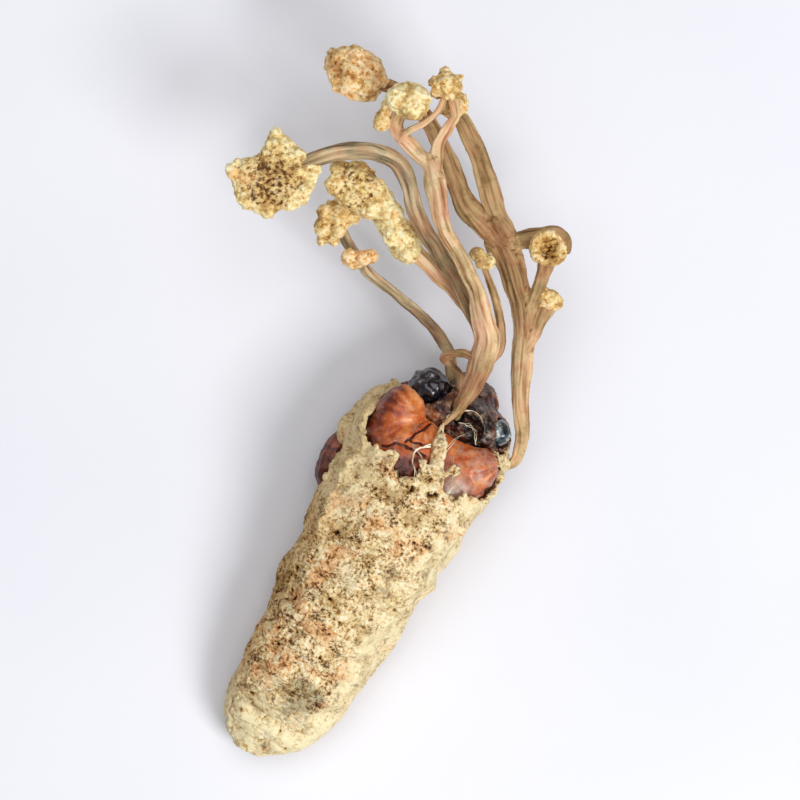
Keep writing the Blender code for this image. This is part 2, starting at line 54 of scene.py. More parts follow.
COLLAR_FROM = 4.0  # the collar is in front of this y and above this z
COLLAR_ABOVE = 4.5
SHARP_EDGE = 0.6  # an edge folded more than this, in radians, is a ragged one
INNER_REACH = 14.0  # a wall that faces another part of the coat within this distance is an inner one
RAY_START = 0.6  # how far off a wall the look for another one starts
FACING_DOWN = -0.98  # a normal's z on the flat that the coat rests on
KEPT_FACES = 0.68  # share of the coat's faces left when its inner walls are thinned
CROWN_TUFT = [  # centre and radii of each lump of the tuft, from the collar to the stalk
    ((0.6, 8.3, 11.5), (0.6, 0.7, 0.45)), ((0.5, 9.2, 11.2), (0.55, 0.75, 0.45)),
    ((0.3, 10.1, 10.9), (0.6, 0.8, 0.45)), ((0.0, 10.9, 10.6), (0.65, 0.8, 0.45)),
    ((-0.3, 11.6, 10.3), (0.65, 0.8, 0.5)), ((-0.5, 12.2, 9.95), (0.42, 0.65, 0.5)),
    ((-0.75, 12.8, 9.6), (0.3, 0.55, 0.45)), ((-0.85, 13.3, 9.5), (0.24, 0.55, 0.4)),
    ((-0.75, 13.8, 9.5), (0.24, 0.5, 0.4))]
LEG_FELT = [  # lumps of felt over the left digging leg, which shows only behind them
    ((-7.2, 8.6, 3.9), (0.8, 0.9, 0.8)), ((-7.4, 9.6, 3.5), (0.9, 1.2, 0.95)),
    ((-7.1, 10.9, 3.1), (0.9, 1.1, 0.9)), ((-6.8, 12.0, 2.7), (0.85, 1.0, 0.85))]
COLLAR_CAVES = [  # middle and radius of each small cave behind the collar's edge
    ((1.2, 7.9), 0.55), ((-0.5, 7.5), 0.3)]
noise.seed_set(7)  # noise_vector takes its offsets from this, so that each run gives the same shapes


def only(piece):
    """Selects one object alone and makes it the active one."""
    bpy.ops.object.select_all(action="DESELECT")
    piece.select_set(True)
    bpy.context.view_layer.objects.active = piece


def new_piece(name):
    """An empty mesh object to model in."""
    piece = bpy.data.objects.new(name, bpy.data.meshes.new(name))
    bpy.context.collection.objects.link(piece)
    return piece


def copied(name, cad_node):
    """A copy of a CAD node in mm with its doubles merged, to model further."""
    piece = new_piece(name)
    piece.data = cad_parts[cad_node].data.copy()
    piece.data.materials.clear()
    only(piece)
    bpy.ops.object.mode_set(mode="EDIT")
    bpy.ops.mesh.select_all(action="SELECT")
    bpy.ops.mesh.remove_doubles(threshold=MM * MM)
    bpy.ops.object.mode_set(mode="OBJECT")
    piece.data.transform(Matrix.Scale(1 / MM, 4))
    return piece


def round_ball(subdivisions):
    """The mesh of a ball of radius 1, which blobs and crumbs are copies of."""
    bpy.ops.object.select_all(action="DESELECT")
    bpy.ops.mesh.primitive_ico_sphere_add(subdivisions=subdivisions, radius=1)
    made = bpy.context.object
    mesh = made.data
    bpy.data.objects.remove(made)
    return mesh


LUMP_BALL = round_ball(3)
CRUMB_BALL = round_ball(2)
CRUMB_SIZE = 0.4  # a blob smaller than this, mm, is copied from the plainer ball


def add_blobs(piece, blobs):
    """Adds round blobs to a piece, each a centre and its three radii."""
    points = [vert.co.copy() for vert in piece.data.vertices]
    faces = [list(face.vertices) for face in piece.data.polygons]
    for centre, radii in blobs:
        ball = CRUMB_BALL if max(radii) < CRUMB_SIZE else LUMP_BALL
        first = len(points)
        points += [Vector(centre) + vert.co * Vector(radii) for vert in ball.vertices]
        faces += [[first + n for n in face.vertices] for face in ball.polygons]
    piece.data.clear_geometry()
    piece.data.from_pydata(points, [], faces)


def applied(piece, kind, **settings):
    """Gives a piece a modifier with these settings and applies it."""
    step = piece.modifiers.new(kind, kind)
    for name, value in settings.items():
        setattr(step, name, value)
    only(piece)
    bpy.ops.object.modifier_apply(modifier=step.name)


def fused(piece, spacing, rounds):
    """Fuses all that overlaps in a piece into one skin with evenly spaced points, then smooths it."""
    applied(piece, "REMESH", mode="VOXEL", voxel_size=spacing)
    applied(piece, "SMOOTH", factor=0.5, iterations=rounds)


def skin_of(piece):
    """A piece's surface as it is now, to cast rays at."""
    return BVHTree.FromPolygons([v.co.copy() for v in piece.data.vertices],
                                [p.vertices[:] for p in piece.data.polygons])


def thinned_inside(piece, ratio):
    """Thins a hollow piece's inner walls, which other pieces hide, down to this share of all its faces."""
    skin = skin_of(piece)
    inner = piece.vertex_groups.new(name="inner walls")
    for vert in piece.data.vertices:
        faced = skin.ray_cast(vert.co + vert.normal * RAY_START, vert.normal, INNER_REACH)[0]
        if faced or vert.normal.z < FACING_DOWN:
            inner.add([vert.index], 1.0, "REPLACE")
    applied(piece, "DECIMATE", decimate_type="COLLAPSE", ratio=ratio, vertex_group=inner.name)
    piece.vertex_groups.clear()


def roughen(piece, relief):
    """Moves each point out along its normal by its relief in mm, and keeps how hollow it looks, 0 to 1, for
    painted shade.
    """
    mesh = piece.data
    normals = [item.vector.copy() for item in mesh.vertex_normals]
    hollow = mesh.attributes.new("hollow", "FLOAT", "POINT")
    for vert, normal in zip(mesh.vertices, normals):
        rise, depth = relief(vert.co, normal)
        hollow.data[vert.index].value = min(max(depth, 0.0), 1.0)
        vert.co += normal * rise


def step_up(low, high, value):
    """0 below low, 1 above high and a smooth rise between; low may be the larger."""
    share = min(max((value - low) / (high - low), 0.0), 1.0)
    return share * share * (3 - 2 * share)


def pit(point, spacing, share, radius):
    """1 in the middle of a pit and 0 away from it: pits lie in so large a share of cells of this size."""
    far, spots = noise.voronoi(point / spacing)
    if noise.noise(spots[0] * 9.7) > 0.5 - share:
        return step_up(radius, 0.25 * radius, far[0] * spacing)
    return 0.0


def collar_cave(point):
    """1 in a cave behind the collar and 0 away from it."""
    deepest = 0.0
    if point.z > 9:
        for (x, y), radius in COLLAR_CAVES:
            away = math.hypot(point.x - x, point.y - y) + 0.35 * noise.noise(point * 1.6)
            deepest = max(deepest, step_up(radius, 0.45 * radius, away))
    return deepest


def coat_shoulder(point):
    """1 on the coat's smooth left shoulder beside the shell plate, and 0 away from it."""
    wavy = 1.2 * noise.noise(point * 0.7)
    return step_up(1.0, 4.5, point.y + wavy) * step_up(-3.4, -5.0, point.x + wavy)


def coat_relief(point, normal):
    """The coat's lumps, wrinkles, grains, cracks, pits and caves, kept for painted shade; its right flank is
    smoother.
    """
    flank = max(step_up(0.35, 0.8, normal.x), 0.6 * coat_shoulder(point))
    rough = 1 - 0.6 * flank
    lumps = noise.noise(point * 0.8)
    wrinkles = abs(noise.noise(Vector((point.x * 0.4, point.y * 1.3, point.z * 0.4))))
    warped = point + 0.5 * Vector((noise.noise(point * 1.1), noise.noise(point * 1.3), 0))
    cracks = step_up(0.045, 0.0, abs(noise.noise(warped * 0.7)))
    patchy = step_up(-0.15, 0.25, noise.noise(point * 0.5 + Vector((7, 0, 0))))
    grains = noise.fractal(point * 2.6, 0.4, 2.2, 3)
    pits = pit(point, 1.1, 0.3, 0.26)
    cave = collar_cave(point)
    rise = COAT_LUMPS * lumps - COAT_WRINKLES * rough * step_up(0.12, 0.0, wrinkles)
    rise += COAT_GRAINS * rough * (0.5 + 0.8 * patchy) * grains
    rise -= rough * (COAT_CRACKS * cracks * patchy + COAT_PITS * pits) + 0.45 * cave
    depth = 0.1 - 0.5 * grains * rough + 0.5 * cracks * patchy + 0.9 * pits
    return rise, depth * (1 - 0.5 * flank) + 0.7 * cave


def ragged_knobs(piece):
    """Knobs of felt along the collar's sharp edges, where the coat stops short of the shell and the stalk."""
    edit = bmesh.new()
    edit.from_mesh(piece.data)
    knobs = []
    for edge in edit.edges:
        middle = (edge.verts[0].co + edge.verts[1].co) / 2
        in_collar = middle.y > COLLAR_FROM and middle.z > COLLAR_ABOVE
        if not in_collar or len(edge.link_faces) < 2 or edge.calc_face_angle() < SHARP_EDGE:
            continue
        count = max(1, round(edge.calc_length() / 0.6))
        for k in range(count):
            at = edge.verts[0].co.lerp(edge.verts[1].co, (k + 0.5) / count)
            size = COLLAR_KNOBS * (0.6 + 1.1 * abs(noise.noise(at * 1.7)))
            shift = noise.noise_vector(at * 2.1) * 0.35
            knobs.append((at + shift, (size, size * 0.9, size * 0.6)))
    edit.free()
    return knobs


def colour(hex_value):
    """A colour written as hex sRGB, as the linear values that a shader takes."""
    parts = [int(hex_value[n:n + 2], 16) / 255 for n in (1, 3, 5)]
    return [p / 12.92 if p <= 0.04045 else ((p + 0.055) / 1.055) ** 2.4 for p in parts] + [1.0]


def node(tree, kind, inputs=(), stops=(), **settings):
    """Adds a node to a material: each input takes a value or a link, and stops are a ramp's colours."""
    made = tree.nodes.new("ShaderNode" + kind)
    for name, value in settings.items():
        setattr(made, name, value)
    for name, value in dict(inputs).items():
        if isinstance(value, bpy.types.NodeSocket):
            tree.links.new(value, made.inputs[name])
        else:
            made.inputs[name].default_value = value
    for k, (place, shade) in enumerate(stops):
        points = made.color_ramp.elements
        point = points[k] if k < len(points) else points.new(place)
        point.position = place
        point.color = colour(shade)
    return made


TINTED = {"data_type": "RGBA", "blend_type": "MULTIPLY"}  # a Mix node that lays a tint over a colour


def new_look(name, roughness, specular=0.5):
    """A new material, its nodes, and object coordinates in mm."""
    look = bpy.data.materials.new(name)
    look.use_nodes = True
    tree = look.node_tree
    shader = tree.nodes["Principled BSDF"]
    shader.inputs["Roughness"].default_value = roughness
    shader.inputs["Specular IOR Level"].default_value = specular
    place = node(tree, "TexCoord").outputs["Object"]
    in_mm = node(tree, "Mapping", {"Vector": place, "Scale": (1 / MM, 1 / MM, 1 / MM)}).outputs["Vector"]
    return look, tree, in_mm


def clouded(tree, place, scale, detail, roughness, stops):
    """A noise pattern with this scale to the mm: its value, and the colours that the stops give it."""
    value = node(tree, "TexNoise", {"Vector": place, "Scale": scale, "Detail": detail,
                                    "Roughness": roughness}).outputs["Fac"]
    return value, node(tree, "ValToRGB", {"Fac": value}, stops).outputs["Color"]


def finished(look, shade, height=None, strength=1.0, distance=0.1):
    """Leads a colour to a material's shader, and a bump of a height in mm where it has one."""
    tree = look.node_tree
    shader = tree.nodes["Principled BSDF"]
    tree.links.new(shade, shader.inputs["Base Color"])
    if height is not None:
        bump = node(tree, "Bump", {"Height": height, "Strength": strength, "Distance": distance * MM})
        tree.links.new(bump.outputs["Normal"], shader.inputs["Normal"])
    return look


def felted_mycelium():
    """Dry felted fungus threads: matt cream specked tan and brown, pinkish stains, and painted shade in its
    pits.
    """
    look, tree, in_mm = new_look("felted mycelium", 0.92, 0.2)
    # Specks a quarter of a millimetre across, over a mottle of about a millimetre.
    specks = node(tree, "TexNoise", {"Vector": in_mm, "Scale": 3.8, "Detail": 4.0, "Roughness": 0.75})
    mottle = node(tree, "TexNoise", {"Vector": in_mm, "Scale": 0.9, "Detail": 4.0, "Roughness": 0.65})
    both = node(tree, "Mix", {0: 0.38, 2: specks.outputs["Fac"], 3: mottle.outputs["Fac"]}, data_type="FLOAT")
    base = node(tree, "ValToRGB", {"Fac": both.outputs[0]}, [
        (0.4, "#4C3622"), (0.44, "#96744E"), (0.475, "#D8BC8C"), (0.52, "#F4E2B6"), (0.61, "#FFF8D8")])
    stain = clouded(tree, in_mm, 0.42, 4.0, 0.6, [
        (0.36, "#C6AE8C"), (0.45, "#F4E8D2"), (0.53, "#FFFFFF"), (0.6, "#FCDEC6"), (0.68, "#ECBE9C")])[1]
    layer = node(tree, "Mix", {0: 0.85, 6: base.outputs["Color"], 7: stain}, **TINTED)
    # pale adds a painted highlight on the right flank; tan and olive are in part painted shade, left side and
    # belly
    for name, tint, blend in (
            ("pale", "#F8EABE", "MIX"), ("tan", "#E2CFB2", "MULTIPLY"), ("olive", "#C4C6C4", "MULTIPLY")):
        painted = node(tree, "Attribute", attribute_name=name)
        layer = node(tree, "Mix", {0: painted.outputs["Fac"], 6: layer.outputs[2], 7: colour(tint)},
                     data_type="RGBA", blend_type=blend)
    # Painted shade: darker where the coat lies hollow, in its cracks, pits and caves and between its grains.
    hollow = node(tree, "Attribute", attribute_name="hollow")
    shade = node(tree, "ValToRGB", {"Fac": hollow.outputs["Fac"]}, [
        (0.2, "#FFFFFF"), (0.43, "#E0CAA8"), (0.65, "#866646"), (0.9, "#2C1C12")])
    deep = node(tree, "Mix", {0: 1.0, 6: layer.outputs[2], 7: shade.outputs["Color"]}, **TINTED)
    grain = node(tree, "TexNoise", {"Vector": in_mm, "Scale": 5.0, "Detail": 3.0, "Roughness": 0.7})
    return finished(look, deep.outputs[2], grain.outputs["Fac"], 1.0, 0.14)


def paint(piece, name, amount):
    """Keeps an amount, 0 to 1, for each point of a piece still in mm, for its material to read."""
    mesh = piece.data
    normals = [item.vector.copy() for item in mesh.vertex_normals]
    values = mesh.attributes.new(name, "FLOAT", "POINT")
    for vert, normal in zip(mesh.vertices, normals):
        values.data[vert.index].value = min(max(amount(vert.co, normal), 0.0), 1.0)


def coat_pale_and_lit_flank(point, normal):
    """Palest along the right flank, as a painted highlight, and paler on the left shoulder, the tail and the
    tuft.
    """
    lit_flank_strip = step_up(0.2, 0.6, normal.x) * step_up(-0.4, 0.0, normal.z)
    tail = step_up(-11.5, -14.0, point.y + 1.5 * noise.noise(point * 0.6))
    tuft = step_up(9.4, 10.2, point.y) * step_up(1.6, 1.0, abs(point.x + 0.3)) * step_up(8.5, 9.2, point.z)
    shoulder = coat_shoulder(point)
    patchy = 0.7 + 0.6 * noise.fractal(point * 0.9, 0.5, 2.1, 3)
    return patchy * (0.65 * lit_flank_strip + 0.9 * tail + 0.6 * tuft + 0.55 * shoulder)


def coat_tan_and_left_shade(point, normal):
    """The coat is tanner and darker along its left side, partly its own colour and partly painted shade."""
    left = step_up(-3.0, -6.0, point.x + 1.4 * noise.noise(point * 0.5)) * step_up(-17.0, -11.0, point.y)
    return 0.7 * left - 0.2 * coat_shoulder(point)


def coat_olive_and_belly_shade(point, normal):
    """A small greyish olive patch lies on the hind back, and painted shade greys the belly's downward faces.
    """
    back = (point - Vector((0.2, -11.4, 7.2))).length
    patch = step_up(2.3, 0.8, back + 1.2 * noise.noise(point * 0.9))
    return patch + 0.5 * step_up(-0.3, -0.9, normal.z)


def put_in_place(piece, look, slot, *cad_nodes):
    """Brings a piece from mm to metres, gives it its look and sets it in place of its CAD nodes."""
    piece.data.transform(Matrix.Scale(MM, 4))
    piece.data.materials.clear()
    piece.data.materials.append(look)
    piece.data.shade_smooth()
    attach(piece, "root")
    if cad_nodes:
        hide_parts(*cad_nodes)


coat = copied("felted_coat", "mycelium_coat")
add_blobs(coat, ragged_knobs(coat) + CROWN_TUFT + LEG_FELT)
fused(coat, COAT_POINTS, 3)
thinned_inside(coat, KEPT_FACES)
paint(coat, "pale", coat_pale_and_lit_flank)
paint(coat, "tan", coat_tan_and_left_shade)
paint(coat, "olive", coat_olive_and_belly_shade)
roughen(coat, coat_relief)
coat_skin = skin_of(coat)
put_in_place(coat, felted_mycelium(), "coat", "mycelium_coat")

# The shell plate behind the head
# The nymph's own shell, thin, hard, glossy and orange brown. It shows in two windows of the coat as two
# domes, wrinkled where it shrank as it dried, and split by dark grooves into smaller plates.
# Painted shade darkens its wrinkles and grooves, and a painted highlight runs down the left dome.
PLATE_POINTS = 0.1
WRINKLE_DEPTH = 0.05
LEFT_FAN = (-2.2, 13.2)  # where the left dome's wrinkles fan out from
RIGHT_FAN = (5.2, 13.0)  # the same for the right dome
DOMES_MEET = -0.4  # the x between the two domes
PLATE_GROOVES = [  # the ends of each dark groove across the plate
    ((-1.5, 13.2), (-2.9, 10.6)), ((-0.9, 10.3), (-3.3, 10.2)), ((-3.3, 10.2), (-4.2, 9.4)),
    ((-1.0, 11.1), (-2.6, 10.9))]
GROOVE_DEPTH = 0.28
GROOVE_HALF = 0.13


def off_groove(point):
    """How far a point of the plate is from the nearest groove, seen from above."""
    here = Vector((point.x, point.y)) + 0.2 * Vector((noise.noise(point * 1.3), noise.noise(point * 1.9)))
    distances = []
    for start, end in PLATE_GROOVES:
        start = Vector(start)
        along = Vector(end) - start
        share = min(max((here - start).dot(along) / along.length_squared, 0), 1)
        distances.append((here - start - along * share).length)
    return min(distances)


def plate_painted_highlight(point):
    """1 in the painted highlight, a bright streak down the left dome towards the eye, and 0 away from it."""
    off_streak = abs(point.x + 3.1 + 0.25 * (point.y - 11.5)) + 0.3 * noise.noise(point * 1.2)
    return step_up(0.9, 0.2, off_streak) * step_up(9.8, 10.8, point.y)


def plate_relief(point, normal):
    """Wrinkles fanning over each dome, grooves between plates, dents, dark outer edges, painted shade and
    highlight.
    """
    away = point - Vector((*(LEFT_FAN if point.x < DOMES_MEET else RIGHT_FAN), point.z))
    fan = math.atan2(away.y, away.x) % (2 * math.pi)
    wavy = fan * 7 + 1.2 * noise.noise(point * 0.8)
    wrinkle = noise.noise(Vector((wavy, away.length * 0.3, 0)))
    dents = noise.noise(point * 1.6)
    groove = step_up(GROOVE_HALF, 0.3 * GROOVE_HALF, off_groove(point)) * step_up(0.3, 0.6, normal.z)
    rim = step_up(-4.1, -6.0, point.x + 0.5 * dents)
    hind = step_up(10.6, 8.8, point.y + 0.4 * dents)
    rise = WRINKLE_DEPTH * wrinkle + 0.03 * dents - GROOVE_DEPTH * groove
    return rise, 0.22 - 0.45 * wrinkle - 0.35 * plate_painted_highlight(point) + groove + 0.5 * rim + 0.4 * hind


def plate_film(point, normal):
    """A grey film of dried threads in patches over the right dome, thickest at its foot."""
    patchy = noise.fractal(point * 1.6, 0.5, 2.1, 4)
    foot = (point - Vector((2.5, 9.0, 10.3))).length + 1.2 * patchy
    dome = step_up(0.3, 1.3, point.x) * step_up(-0.1, 0.5, patchy)
    return 0.6 * step_up(1.9, 0.6, foot) + 0.4 * dome


def nymph_shell(name, stops, roughness, film):
    """Dry insect shell: thin, uneven, glossy horn, with a dull film of dried threads here and there."""
    look, tree, in_mm = new_look(name, roughness, 0.5)
    base = clouded(tree, in_mm, 0.5, 6.0, 0.65, stops)[1]
    # Painted shade: darker where the shell lies hollow, and lighter along the plate's painted highlight.
    hollow = node(tree, "Attribute", attribute_name="hollow")
    shade = node(tree, "ValToRGB", {"Fac": hollow.outputs["Fac"]}, [
        (0.0, "#FFFFFF"), (0.3, "#DCAE90"), (0.6, "#8C4E34"), (1.0, "#24100A")])
    dark = node(tree, "Mix", {0: 1.0, 6: base, 7: shade.outputs["Color"]}, **TINTED)
    dust = clouded(tree, in_mm, 1.7, 6.0, 0.75, [(0.52, "#000000"), (0.64, "#FFFFFF")])[1]
    flecks = node(tree, "Math", {0: dust, 1: film}, operation="MULTIPLY")
    painted = node(tree, "Attribute", attribute_name="film")
    amount = node(tree, "Math", {0: flecks.outputs[0], 1: painted.outputs["Fac"]}, operation="MAXIMUM")
    dusted = node(tree, "Mix", {0: amount.outputs[0], 6: dark.outputs[2], 7: colour("#B9A594")},
                  data_type="RGBA")
    pores = node(tree, "TexNoise", {"Vector": in_mm, "Scale": 3.2, "Detail": 5.0, "Roughness": 0.65})
    return finished(look, dusted.outputs[2], pores.outputs["Fac"], 0.5, 0.1)


plate = copied("shell_plate", "pronotum")
fused(plate, PLATE_POINTS, 12)
paint(plate, "film", plate_film)
roughen(plate, plate_relief)
plate_look = nymph_shell("nymph shell, orange brown", [
    (0.36, "#A4521E"), (0.46, "#C86C30"), (0.56, "#DE8C4C"), (0.68, "#F4BA8C")], 0.26, 0.3)
put_in_place(plate, plate_look, "shell", "pronotum")

# The head, its beak and its digging legs
# The same horny shell, darker: a swollen face in front, a thin beak folded under it, and two toothed digging
# legs that come out of the coat's front edge. The fungus has opened a hollow in the crown, dark inside.
# Painted shade darkens the crown's hollow, the creases of the face and the hollows of the legs and beak.
HEAD_POINTS = 0.11
BEAK_POINTS = 0.08
LEG_POINTS = 0.09
FACE_RIDGES = 0.75  # from one cross ridge of the face to the next
CROWN_HOLLOW = (0.9, 13.8)  # the middle of the dark hollow, seen from above


def head_relief(point, normal):
    """The face's cross ridges on each side of its keel, dents over the rest, painted shade between ridges and
    in the hollow.
    """
    off_keel = step_up(0.2, 0.5, abs(point.x - 0.1))
    in_face = step_up(14.8, 15.8, point.y) * off_keel * step_up(7.0, 6.0, point.z)
    ridges = math.sin(point.z * 2 * math.pi / FACE_RIDGES)
    dents = noise.fractal(point * 1.3, 0.5, 2.1, 3)
    off_hollow = math.hypot(point.x - CROWN_HOLLOW[0], point.y - CROWN_HOLLOW[1]) + 0.4 * dents
    in_hollow = step_up(2.6, 1.6, off_hollow) * step_up(6.0, 7.0, point.z)
    rise = 0.07 * in_face * ridges + 0.1 * dents
    return rise, 0.3 - 0.6 * dents + 0.35 * in_face * step_up(0.2, -0.8, ridges) + 0.5 * in_hollow


def leg_relief(point, normal):
    """A digging leg's lengthwise hollows and fine pits, with painted shade in the hollows."""
    dents = noise.noise(point * 1.1)
    return 0.1 * dents + 0.03 * noise.noise(point * 3.5), 0.6 * step_up(0.1, -0.3, dents)


dark_shell_look = nymph_shell("nymph shell, dark brown", [
    (0.38, "#2A1A14"), (0.49, "#5A3A28"), (0.58, "#8E6446"), (0.7, "#C09874")], 0.3, 0.5)
leg_look = nymph_shell("nymph shell, red brown", [
    (0.35, "#441A0E"), (0.5, "#6E3018"), (0.62, "#8C4626"), (0.72, "#AC6A3E")], 0.3, 0.15)
head = copied("nymph_head", "head")
fused(head, HEAD_POINTS, 6)
roughen(head, head_relief)
put_in_place(head, dark_shell_look, "dark_shell", "head")
beak = copied("nymph_beak", "beak")
fused(beak, BEAK_POINTS, 6)
roughen(beak, leg_relief)
put_in_place(beak, dark_shell_look, "dark_shell", "beak")
LEG_TEETH = {
    "left": [((-6.5, 12.8, 2.0), (0.25, 0.45, 0.3)), ((-5.9, 13.9, 1.6), (0.2, 0.4, 0.25))],
    "right": [((4.7, 12.2, 1.9), (0.25, 0.45, 0.3)), ((4.4, 13.3, 1.7), (0.2, 0.3, 0.25))],
}
for side, teeth in LEG_TEETH.items():
    leg = copied(f"digging_leg_{side}", f"foreleg_{side}")
    add_blobs(leg, teeth)
    fused(leg, LEG_POINTS, 5)
    roughen(leg, leg_relief)
    put_in_place(leg, leg_look, "shell", f"foreleg_{side}")

# The eyes
# Two bulging, glossy eyes at the corners of the head, part of its shell. The left one is large and black and
# shrank into soft folds as it dried; the right one is smaller, blue grey and clouded.
EYE_POINTS = 0.08


def eye_relief(height):
    """Soft folds of this height in mm, where the eye shrank."""
    def relief(point, normal):
        folds = noise.fractal(point * 0.8, 0.9, 2.1, 2)
        return height * folds, 0.0
    return relief


def dried_eye(name, stops, roughness):
    """A dried insect eye: dark, glassy and clouded with paler spots."""
    look, tree, in_mm = new_look(name, roughness, 0.7)
    cloud, base = clouded(tree, in_mm, 1.3, 5.0, 0.7, stops)
    return finished(look, base, cloud, 0.25, 0.12)


EYES = {
    "left": (0.3, dried_eye("dried eye, black", [
        (0.4, "#08080C"), (0.52, "#1C181E"), (0.6, "#4A3C44"), (0.68, "#A4A6AC")], 0.15)),
    "right": (0.12, dried_eye("dried eye, blue grey", [
        (0.4, "#07090B"), (0.5, "#1E282E"), (0.57, "#6A7C80"), (0.66, "#DCE2DC")], 0.13)),
}
for side, (fold_height, look) in EYES.items():
    eye = copied(f"dried_eye_{side}", f"eye_{side}")
    fused(eye, EYE_POINTS, 6)
    roughen(eye, eye_relief(fold_height))
    put_in_place(eye, look, "eye", f"eye_{side}")

# The stalks
# The fungus's stalks, soft when fresh and shrunk flat as they dried, so that they are ribbed and furrowed
# along their length like string. They grow out of the head, fork and carry the spore heads, all in one piece.
# Painted shade darkens the furrows and part of each stalk's length, near the base on most.
STALK_POINTS = 0.09  # spacing of a fused stalk's points
ROUTE_STEP = 0.12  # from one place along a stalk's route to the next
ROUND_SIDES = 28  # points round a stalk before it is fused
RIB_DEPTH = 0.12  # depth of the ribs, as a share of the stalk's radius
FURROW_DEPTH = 0.035  # depth of the fine furrows, mm
STALK_WOBBLE = 0.12  # how far a stalk strays from its smooth route, mm


def smooth(values, t):
    """The value at t, 0 to len - 1, on a smooth curve through the listed values."""
    last = len(values) - 1
    i = min(int(t), last - 1)
    f = t - i
    a, b, c, d = (values[min(max(i + n, 0), last)] for n in (-1, 0, 1, 2))
    return b + 0.5 * f * (c - a + f * (2 * a - 5 * b + 4 * c - d + f * (3 * (b - c) + d - a)))


def route_frames(route, wide, thick, seed):
    """Places along a stalk: centre, side, up, tangent, distance, half width and half thickness."""
    points = [Vector(point) for point in route]
    length = sum((b - a).length for a, b in zip(points, points[1:]))
    count = round(length / ROUTE_STEP)
    last = len(points) - 1
    centres = []
    for k in range(count + 1):
        t = last * k / count
        centre = Vector([smooth([point[n] for point in points], t) for n in range(3)])
        stray = noise.noise_vector(centre * 0.55 + Vector((seed, 0, 0)))
        centres.append(centre + stray * STALK_WOBBLE)
    side = Vector((1, 0, 0))
    frames = []
    for k, centre in enumerate(centres):
        along = (centres[min(k + 1, count)] - centres[max(k - 1, 0)]).normalized()
        if k == 0:
            side = along.cross(Vector((0, 0, 1)))
        side = (side - along * side.dot(along)).normalized()
        share = k / count
        half_wide = smooth(wide, share * (len(wide) - 1))
        half_thick = smooth(thick, share * (len(thick) - 1))
        frames.append((centre, side, side.cross(along), along, length * share, half_wide, half_thick))
    return frames


def skin_tube(edit, rings):
    """Joins rings of points, one after another, into a tube that is closed at both ends."""
    sides = len(rings[0])
    for low, high in zip(rings, rings[1:]):
        for n in range(sides):
            m = (n + 1) % sides
            edit.faces.new((low[n], low[m], high[m], high[n]))
    edit.faces.new(reversed(rings[0]))
    edit.faces.new(rings[-1])


def add_stalk(piece, frames, ribs, seed):
    """Adds a closed, ribbed tube along these places to a piece."""
    edit = bmesh.new()
    edit.from_mesh(piece.data)
    rings = []
    for centre, side, up, along, distance, wide, thick in frames:
        ring = []
        for n in range(ROUND_SIDES):
            turn = 2 * math.pi * n / ROUND_SIDES
            drift = 0.25 * distance + seed
            ribbed = 1 + RIB_DEPTH * math.cos(ribs * turn + drift)
            ribbed += 0.5 * RIB_DEPTH * math.cos((2 * ribs + 1) * turn - 0.7 * drift)
            ribbed += 0.22 * noise.noise(Vector((math.cos(turn), math.sin(turn), 0.45 * distance + seed)))
            across = side * math.cos(turn) * wide + up * math.sin(turn) * thick
            ring.append(edit.verts.new(centre + across * ribbed))
        rings.append(ring)
    skin_tube(edit, rings)
    edit.to_mesh(piece.data)
    edit.free()


def keep_grain(piece, frames):
    """Gives each point its place across and along the nearest stalk, for furrows that run lengthwise."""
    tree = kdtree.KDTree(len(frames))
    for k, place in enumerate(frames):
        tree.insert(place[0], k)
    tree.balance()
    grain = piece.data.attributes.new("grain", "FLOAT_VECTOR", "POINT")
    places = []
    for vert in piece.data.vertices:
        centre, side, up, along, distance, wide, thick = frames[tree.find(vert.co)[1]]
        off = vert.co - centre
        here = Vector((off.dot(side), off.dot(up), distance + off.dot(along)))
        grain.data[vert.index].vector = here
        places.append(here)
    return places


def furrow(piece, places):
    """Cuts fine lengthwise furrows into a stalk and keeps how hollow each point lies, for painted shade."""
    mesh = piece.data
    normals = [item.vector.copy() for item in mesh.vertex_normals]
    hollow = mesh.attributes.new("hollow", "FLOAT", "POINT")
    for vert, normal, here in zip(mesh.vertices, normals, places):
        streak = noise.noise(Vector((here.x * 3.0, here.y * 3.0, here.z * 0.2)))
        fine = noise.noise(Vector((here.x * 7.5, here.y * 7.5, here.z * 0.5)))
        knot = noise.noise(vert.co * 1.4)
        vert.co += normal * (FURROW_DEPTH * (streak + 0.7 * fine) + 0.05 * knot)
        hollow.data[vert.index].value = min(max(0.4 - 0.6 * streak - 0.5 * fine, 0.0), 1.0)


def dried_stalk(name, stops, tints):
    """Dried fungus stalk: matt, string-like, darker streaks, tinted patches, and painted shade in furrows and
    along it.
    """
    look, tree, in_mm = new_look(name, 0.75, 0.3)
    grain = node(tree, "Attribute", attribute_name="grain")
    lengthwise = node(tree, "Mapping", {"Vector": grain.outputs["Vector"], "Scale": (6.5, 6.5, 0.7)})
    streaks = node(tree, "TexNoise", {"Vector": lengthwise.outputs["Vector"], "Scale": 1.0, "Detail": 5.0,
                                      "Roughness": 0.7})
    hollow = node(tree, "Attribute", attribute_name="hollow")
    both = node(tree, "Math", {0: streaks.outputs["Fac"], 1: hollow.outputs["Fac"]}, operation="SUBTRACT")
    spread = node(tree, "MapRange", {"Value": both.outputs[0], "From Min": -0.95, "From Max": 0.93})
    base = node(tree, "ValToRGB", {"Fac": spread.outputs["Result"]}, stops)
    tint = clouded(tree, in_mm, 0.38, 4.0, 0.7, tints)[1]
    tinted = node(tree, "Mix", {0: 0.8, 6: base.outputs["Color"], 7: tint}, **TINTED)
    # Painted shade: darker over part of the stalk's length, near its base on most stalks.
    painted_shade = node(tree, "Attribute", attribute_name="painted_shade").outputs["Fac"]
    toned = node(tree, "Mix", {0: painted_shade, 6: tinted.outputs[2], 7: colour("#D2C8BC")}, **TINTED)
    return finished(look, toned.outputs[2], streaks.outputs["Fac"], 0.7, 0.1)


